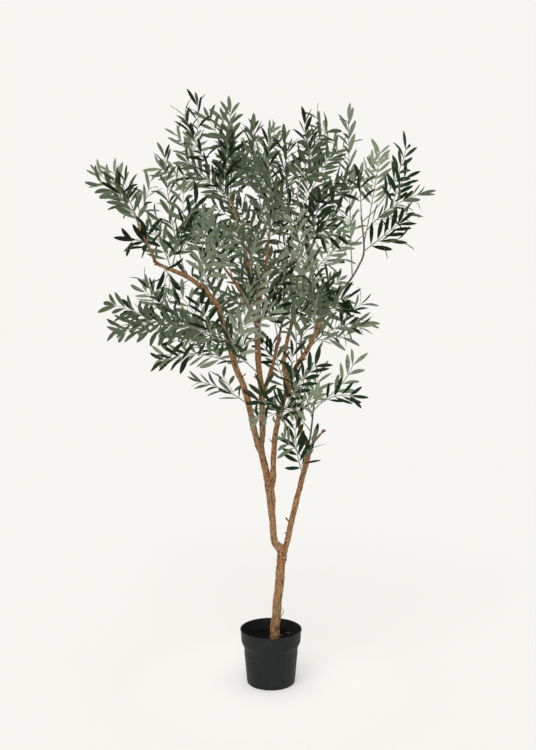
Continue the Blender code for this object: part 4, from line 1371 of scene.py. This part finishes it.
def spray_leaves(number):
    """Every leaf of a spray that stays clear of the wood, as leaf_points takes them."""
    seed, _, pale, crossed = ALL_SPRAYS[number][4:]
    chance = np.random.default_rng(LEAF_SEED + seed)
    rows = [
        leaves_of(twig, chance, chance.uniform(0, 10) < pale + MORE_PALE, chance.uniform(0, 10) < crossed)
        for twig in grown[number]
    ]
    roots, directions, faces, sizes, away = (np.concatenate(column) for column in zip(*rows))
    directions = unit(directions)
    faces = unit(faces - directions * np.sum(faces * directions, axis=1)[:, None])
    widths = LEAF_WIDTH * sizes / LEAF_LENGTH * chance.uniform(*LEAF_WIDTHS, len(sizes))
    bends = chance.normal(*LEAF_BEND, len(sizes))
    bends = np.where(np.abs(bends) < LEAST_BEND, LEAST_BEND, bends)
    sweeps = away * chance.normal(*LEAF_SWEEP, (len(sizes), 1))
    twists = chance.normal(0, LEAF_TWIST, len(sizes))
    free = clear_of_limbs(roots, directions, sizes)
    return [values[free] for values in (roots, directions, faces, sizes, widths, bends, sweeps, twists)]


leaves = [spray_leaves(number) for number in range(len(ALL_SPRAYS))]
print(f"{sum(len(rows[0]) for rows in leaves)} leaves")

# %% [markdown]
# ## The leaves' colours
# Olive leaves are dark above and silvery below, and the maker prints the fabric that way. The colour changes
# a little from one spray to the next, so each spray is dealt one of four tints. The spread of the four is
# partly that print and partly painted light and shade: the palest upper sides stand for upper sides lit at a
# slant, and the darkest undersides for undersides in shade. Inside a leaf the colour follows the leaf: a
# paler rib down the middle, a paler foot and faint side veins. The print is read from the leaf's own UV map,
# on which t runs along the leaf. All leaves lie on top of each other there, with the upper sides in one half
# of the map and the undersides in the other, so one picture of a leaf would do for them all.

# %% Finishes of the leaves
UPPER_MIDDLE = 0.75
UNDER_MIDDLE = 0.25
HALF_MAP = 0.24
RIB_DEPTH = 0.0004
UPPER_RIB = (0.8, 0.032)
UNDER_RIB = 0.66
# Upper and under colour of each tint, partly print and partly painted light and shade: the palest uppers are
# painted lit leaves, the darkest unders painted shaded ones.
TINTS_AND_PAINTED_LIGHT = (
    ((0.0055, 0.0145, 0.0045), (0.105, 0.138, 0.082)),
    ((0.0125, 0.0260, 0.0095), (0.226, 0.272, 0.182)),
    ((0.0045, 0.0230, 0.0060), (0.150, 0.192, 0.120)),
    ((0.0270, 0.0440, 0.0190), (0.273, 0.320, 0.226)),
)


def leaf_finish(name, blade, rib, gloss, middle):
    """Blade colour, paler towards the rib, the foot and the side veins, which slant from the rib to the tip.
    middle is where the rib lies on the map; the edges lie HALF_MAP on either side of it."""
    finish = Finish(name, 0.6, gloss)
    uv = finish.node("ShaderNodeUVMap", {"uv_map": UV_MAP})
    t = finish.node("ShaderNodeSeparateXYZ", None, {0: uv})
    across = finish.node("ShaderNodeSeparateXYZ", None, {0: uv}, output=1)
    from_rib = finish.node("ShaderNodeMath", {"operation": "ABSOLUTE"}, {0: across - middle}) * (1 / HALF_MAP)
    on_rib = finish.between(from_rib, 0.14, 0.04)
    near_foot = finish.between(t, 0.30, 0.05)
    slanted = finish.node("ShaderNodeCombineXYZ", None, {0: t - 0.35 * from_rib})
    veins = finish.node("ShaderNodeTexWave", {"wave_type": "BANDS", "bands_direction": "X"},
                        {"Vector": slanted, "Scale": 5.0, "Distortion": 0.0})
    colour = finish.mixed(0.16 * veins, blade, rib)
    colour = finish.mixed(0.55 * on_rib, colour, rib)
    colour = finish.mixed(0.30 * near_foot, colour, rib)
    finish.colour(colour)
    finish.rough(0.54 + 0.12 * veins)
    finish.relief(0.5 * veins + on_rib, RIB_DEPTH, 0.5)
    return finish


leaf_finishes = []
for number, (upper, under) in enumerate(TINTS_AND_PAINTED_LIGHT):
    rib = tuple(UPPER_RIB[0] * channel + UPPER_RIB[1] for channel in upper)
    dull = tuple(UNDER_RIB * channel for channel in under)
    leaf_finishes.append((
        leaf_finish(f"leaf_upper_{number}", upper, rib, 0.07, UPPER_MIDDLE),
        leaf_finish(f"leaf_under_{number}", under, dull, 0.05, UNDER_MIDDLE),
    ))

# %% [markdown]
# ## All the leaves
# Sprays of one tint are joined into one piece. That keeps the number of pieces small, and the order in which
# the sprays take their tints spreads each tint over the whole crown.

# %% Join the leaves by tint
quads, fans, under = leaf_faces()
points_each = 4 * (len(LEAF_STATIONS) - 2) + 2
along_leaf = np.append(np.repeat(LEAF_STATIONS[1:-1], 4), (0.0, 1.0))
across_leaf = np.append(np.tile((-1.0, 0.0, 1.0, 0.0), len(LEAF_STATIONS) - 2), (0.0, 0.0))


def leaf_map(corners, under):
    """Places on the map of the corners of some faces: t, and the rib's place plus HALF_MAP at the edges."""
    middle = np.where(under, UNDER_MIDDLE, UPPER_MIDDLE)[:, None]
    return np.stack([along_leaf[corners], middle + HALF_MAP * across_leaf[corners]], -1).reshape(-1, 2)


def leaf_piece(tint):
    """The leaves of every spray with this tint, as one piece that stands for their solids."""
    numbers = [number for number in range(len(ALL_SPRAYS)) if number % len(TINTS_AND_PAINTED_LIGHT) == tint]
    values = [np.concatenate(column) for column in zip(*(leaves[number] for number in numbers))]
    points = leaf_points(*values)
    shifts = points_each * np.arange(len(points))[:, None, None]
    faces = (quads + shifts).reshape(-1, 4).tolist() + (fans + shifts).reshape(-1, 3).tolist()
    count = len(points)
    slots = np.concatenate([np.tile(under[: len(quads)], count), np.tile(under[len(quads):], count)])
    uv = np.concatenate([np.tile(leaf_map(quads, under[: len(quads)]), (count, 1)),
                         np.tile(leaf_map(fans, under[len(quads):]), (count, 1))])
    made = piece(f"leaves_{tint}", points.reshape(-1, 3), faces, leaf_finishes[tint], slots=slots, uv=uv)
    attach(made, "root")
    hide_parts(*(SPRAYS[number][0] for number in numbers if number < len(SPRAYS)))


for tint in range(len(TINTS_AND_PAINTED_LIGHT)):
    leaf_piece(tint)

# %% [markdown]
# ## Floor
# A wide matt floor, as white as the sum for the light needs it to be. The tree takes a little light from the
# floor around it, which a studio evens out with one more lamp. Here that lamp's light is painted into the
# floor instead: painted light makes it whiter near the pot, by its distance from the pot, and whitest at the
# pot's foot, where the pot's shadow falls. The floor isn't part of the object.

# %% Floor
FLOOR_SIZE = 400.0
# Painted light: the floor is whiter near the pot and whitest at its foot, over the shade of the tree and pot.
PAINTED_LIGHT_AT_FOOT = 1.170 * FLOOR_WHITENESS
PAINTED_LIGHT_NEAR_POT = 1.022 * FLOOR_WHITENESS
FAR_WHITENESS = 0.985 * FLOOR_WHITENESS


def floor_finish():
    finish = Finish("floor", 1.0, 0.0)
    distance = finish.node("ShaderNodeVectorMath", {"operation": "LENGTH"}, {0: finish.place()}, output=1)
    # Painted light: whiter floor near the pot and at its foot, where the tree and pot shade it.
    colour = finish.mixed(finish.between(distance, 0.6, 5.0), (PAINTED_LIGHT_NEAR_POT,) * 3, (FAR_WHITENESS,) * 3)
    finish.colour(finish.mixed(finish.between(distance, 0.55, 0.12) ** 1.5, colour, (PAINTED_LIGHT_AT_FOOT,) * 3))
    return finish


corners = FLOOR_SIZE / 2 * np.array(((-1, -1, 0), (1, -1, 0), (1, 1, 0), (-1, 1, 0)), float)
floor = piece("floor", corners, [(0, 1, 2, 3)], [floor_finish()])
floor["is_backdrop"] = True

# %% [markdown]
# ## Sizes
# A dressed part has to fill the same room as its solids. For each axis, how far the dressed box's ends lie
# from those of the solids' box is printed, to compare.

# %% Compare the boxes
visual_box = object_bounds()
for axis, name in enumerate("xyz"):
    low, high = visual_box[0][axis] - cad_box[0][axis], visual_box[1][axis] - cad_box[1][axis]
    print(f"{name}: low end {1000 * low:+.1f} mm, high end {1000 * high:+.1f} mm")
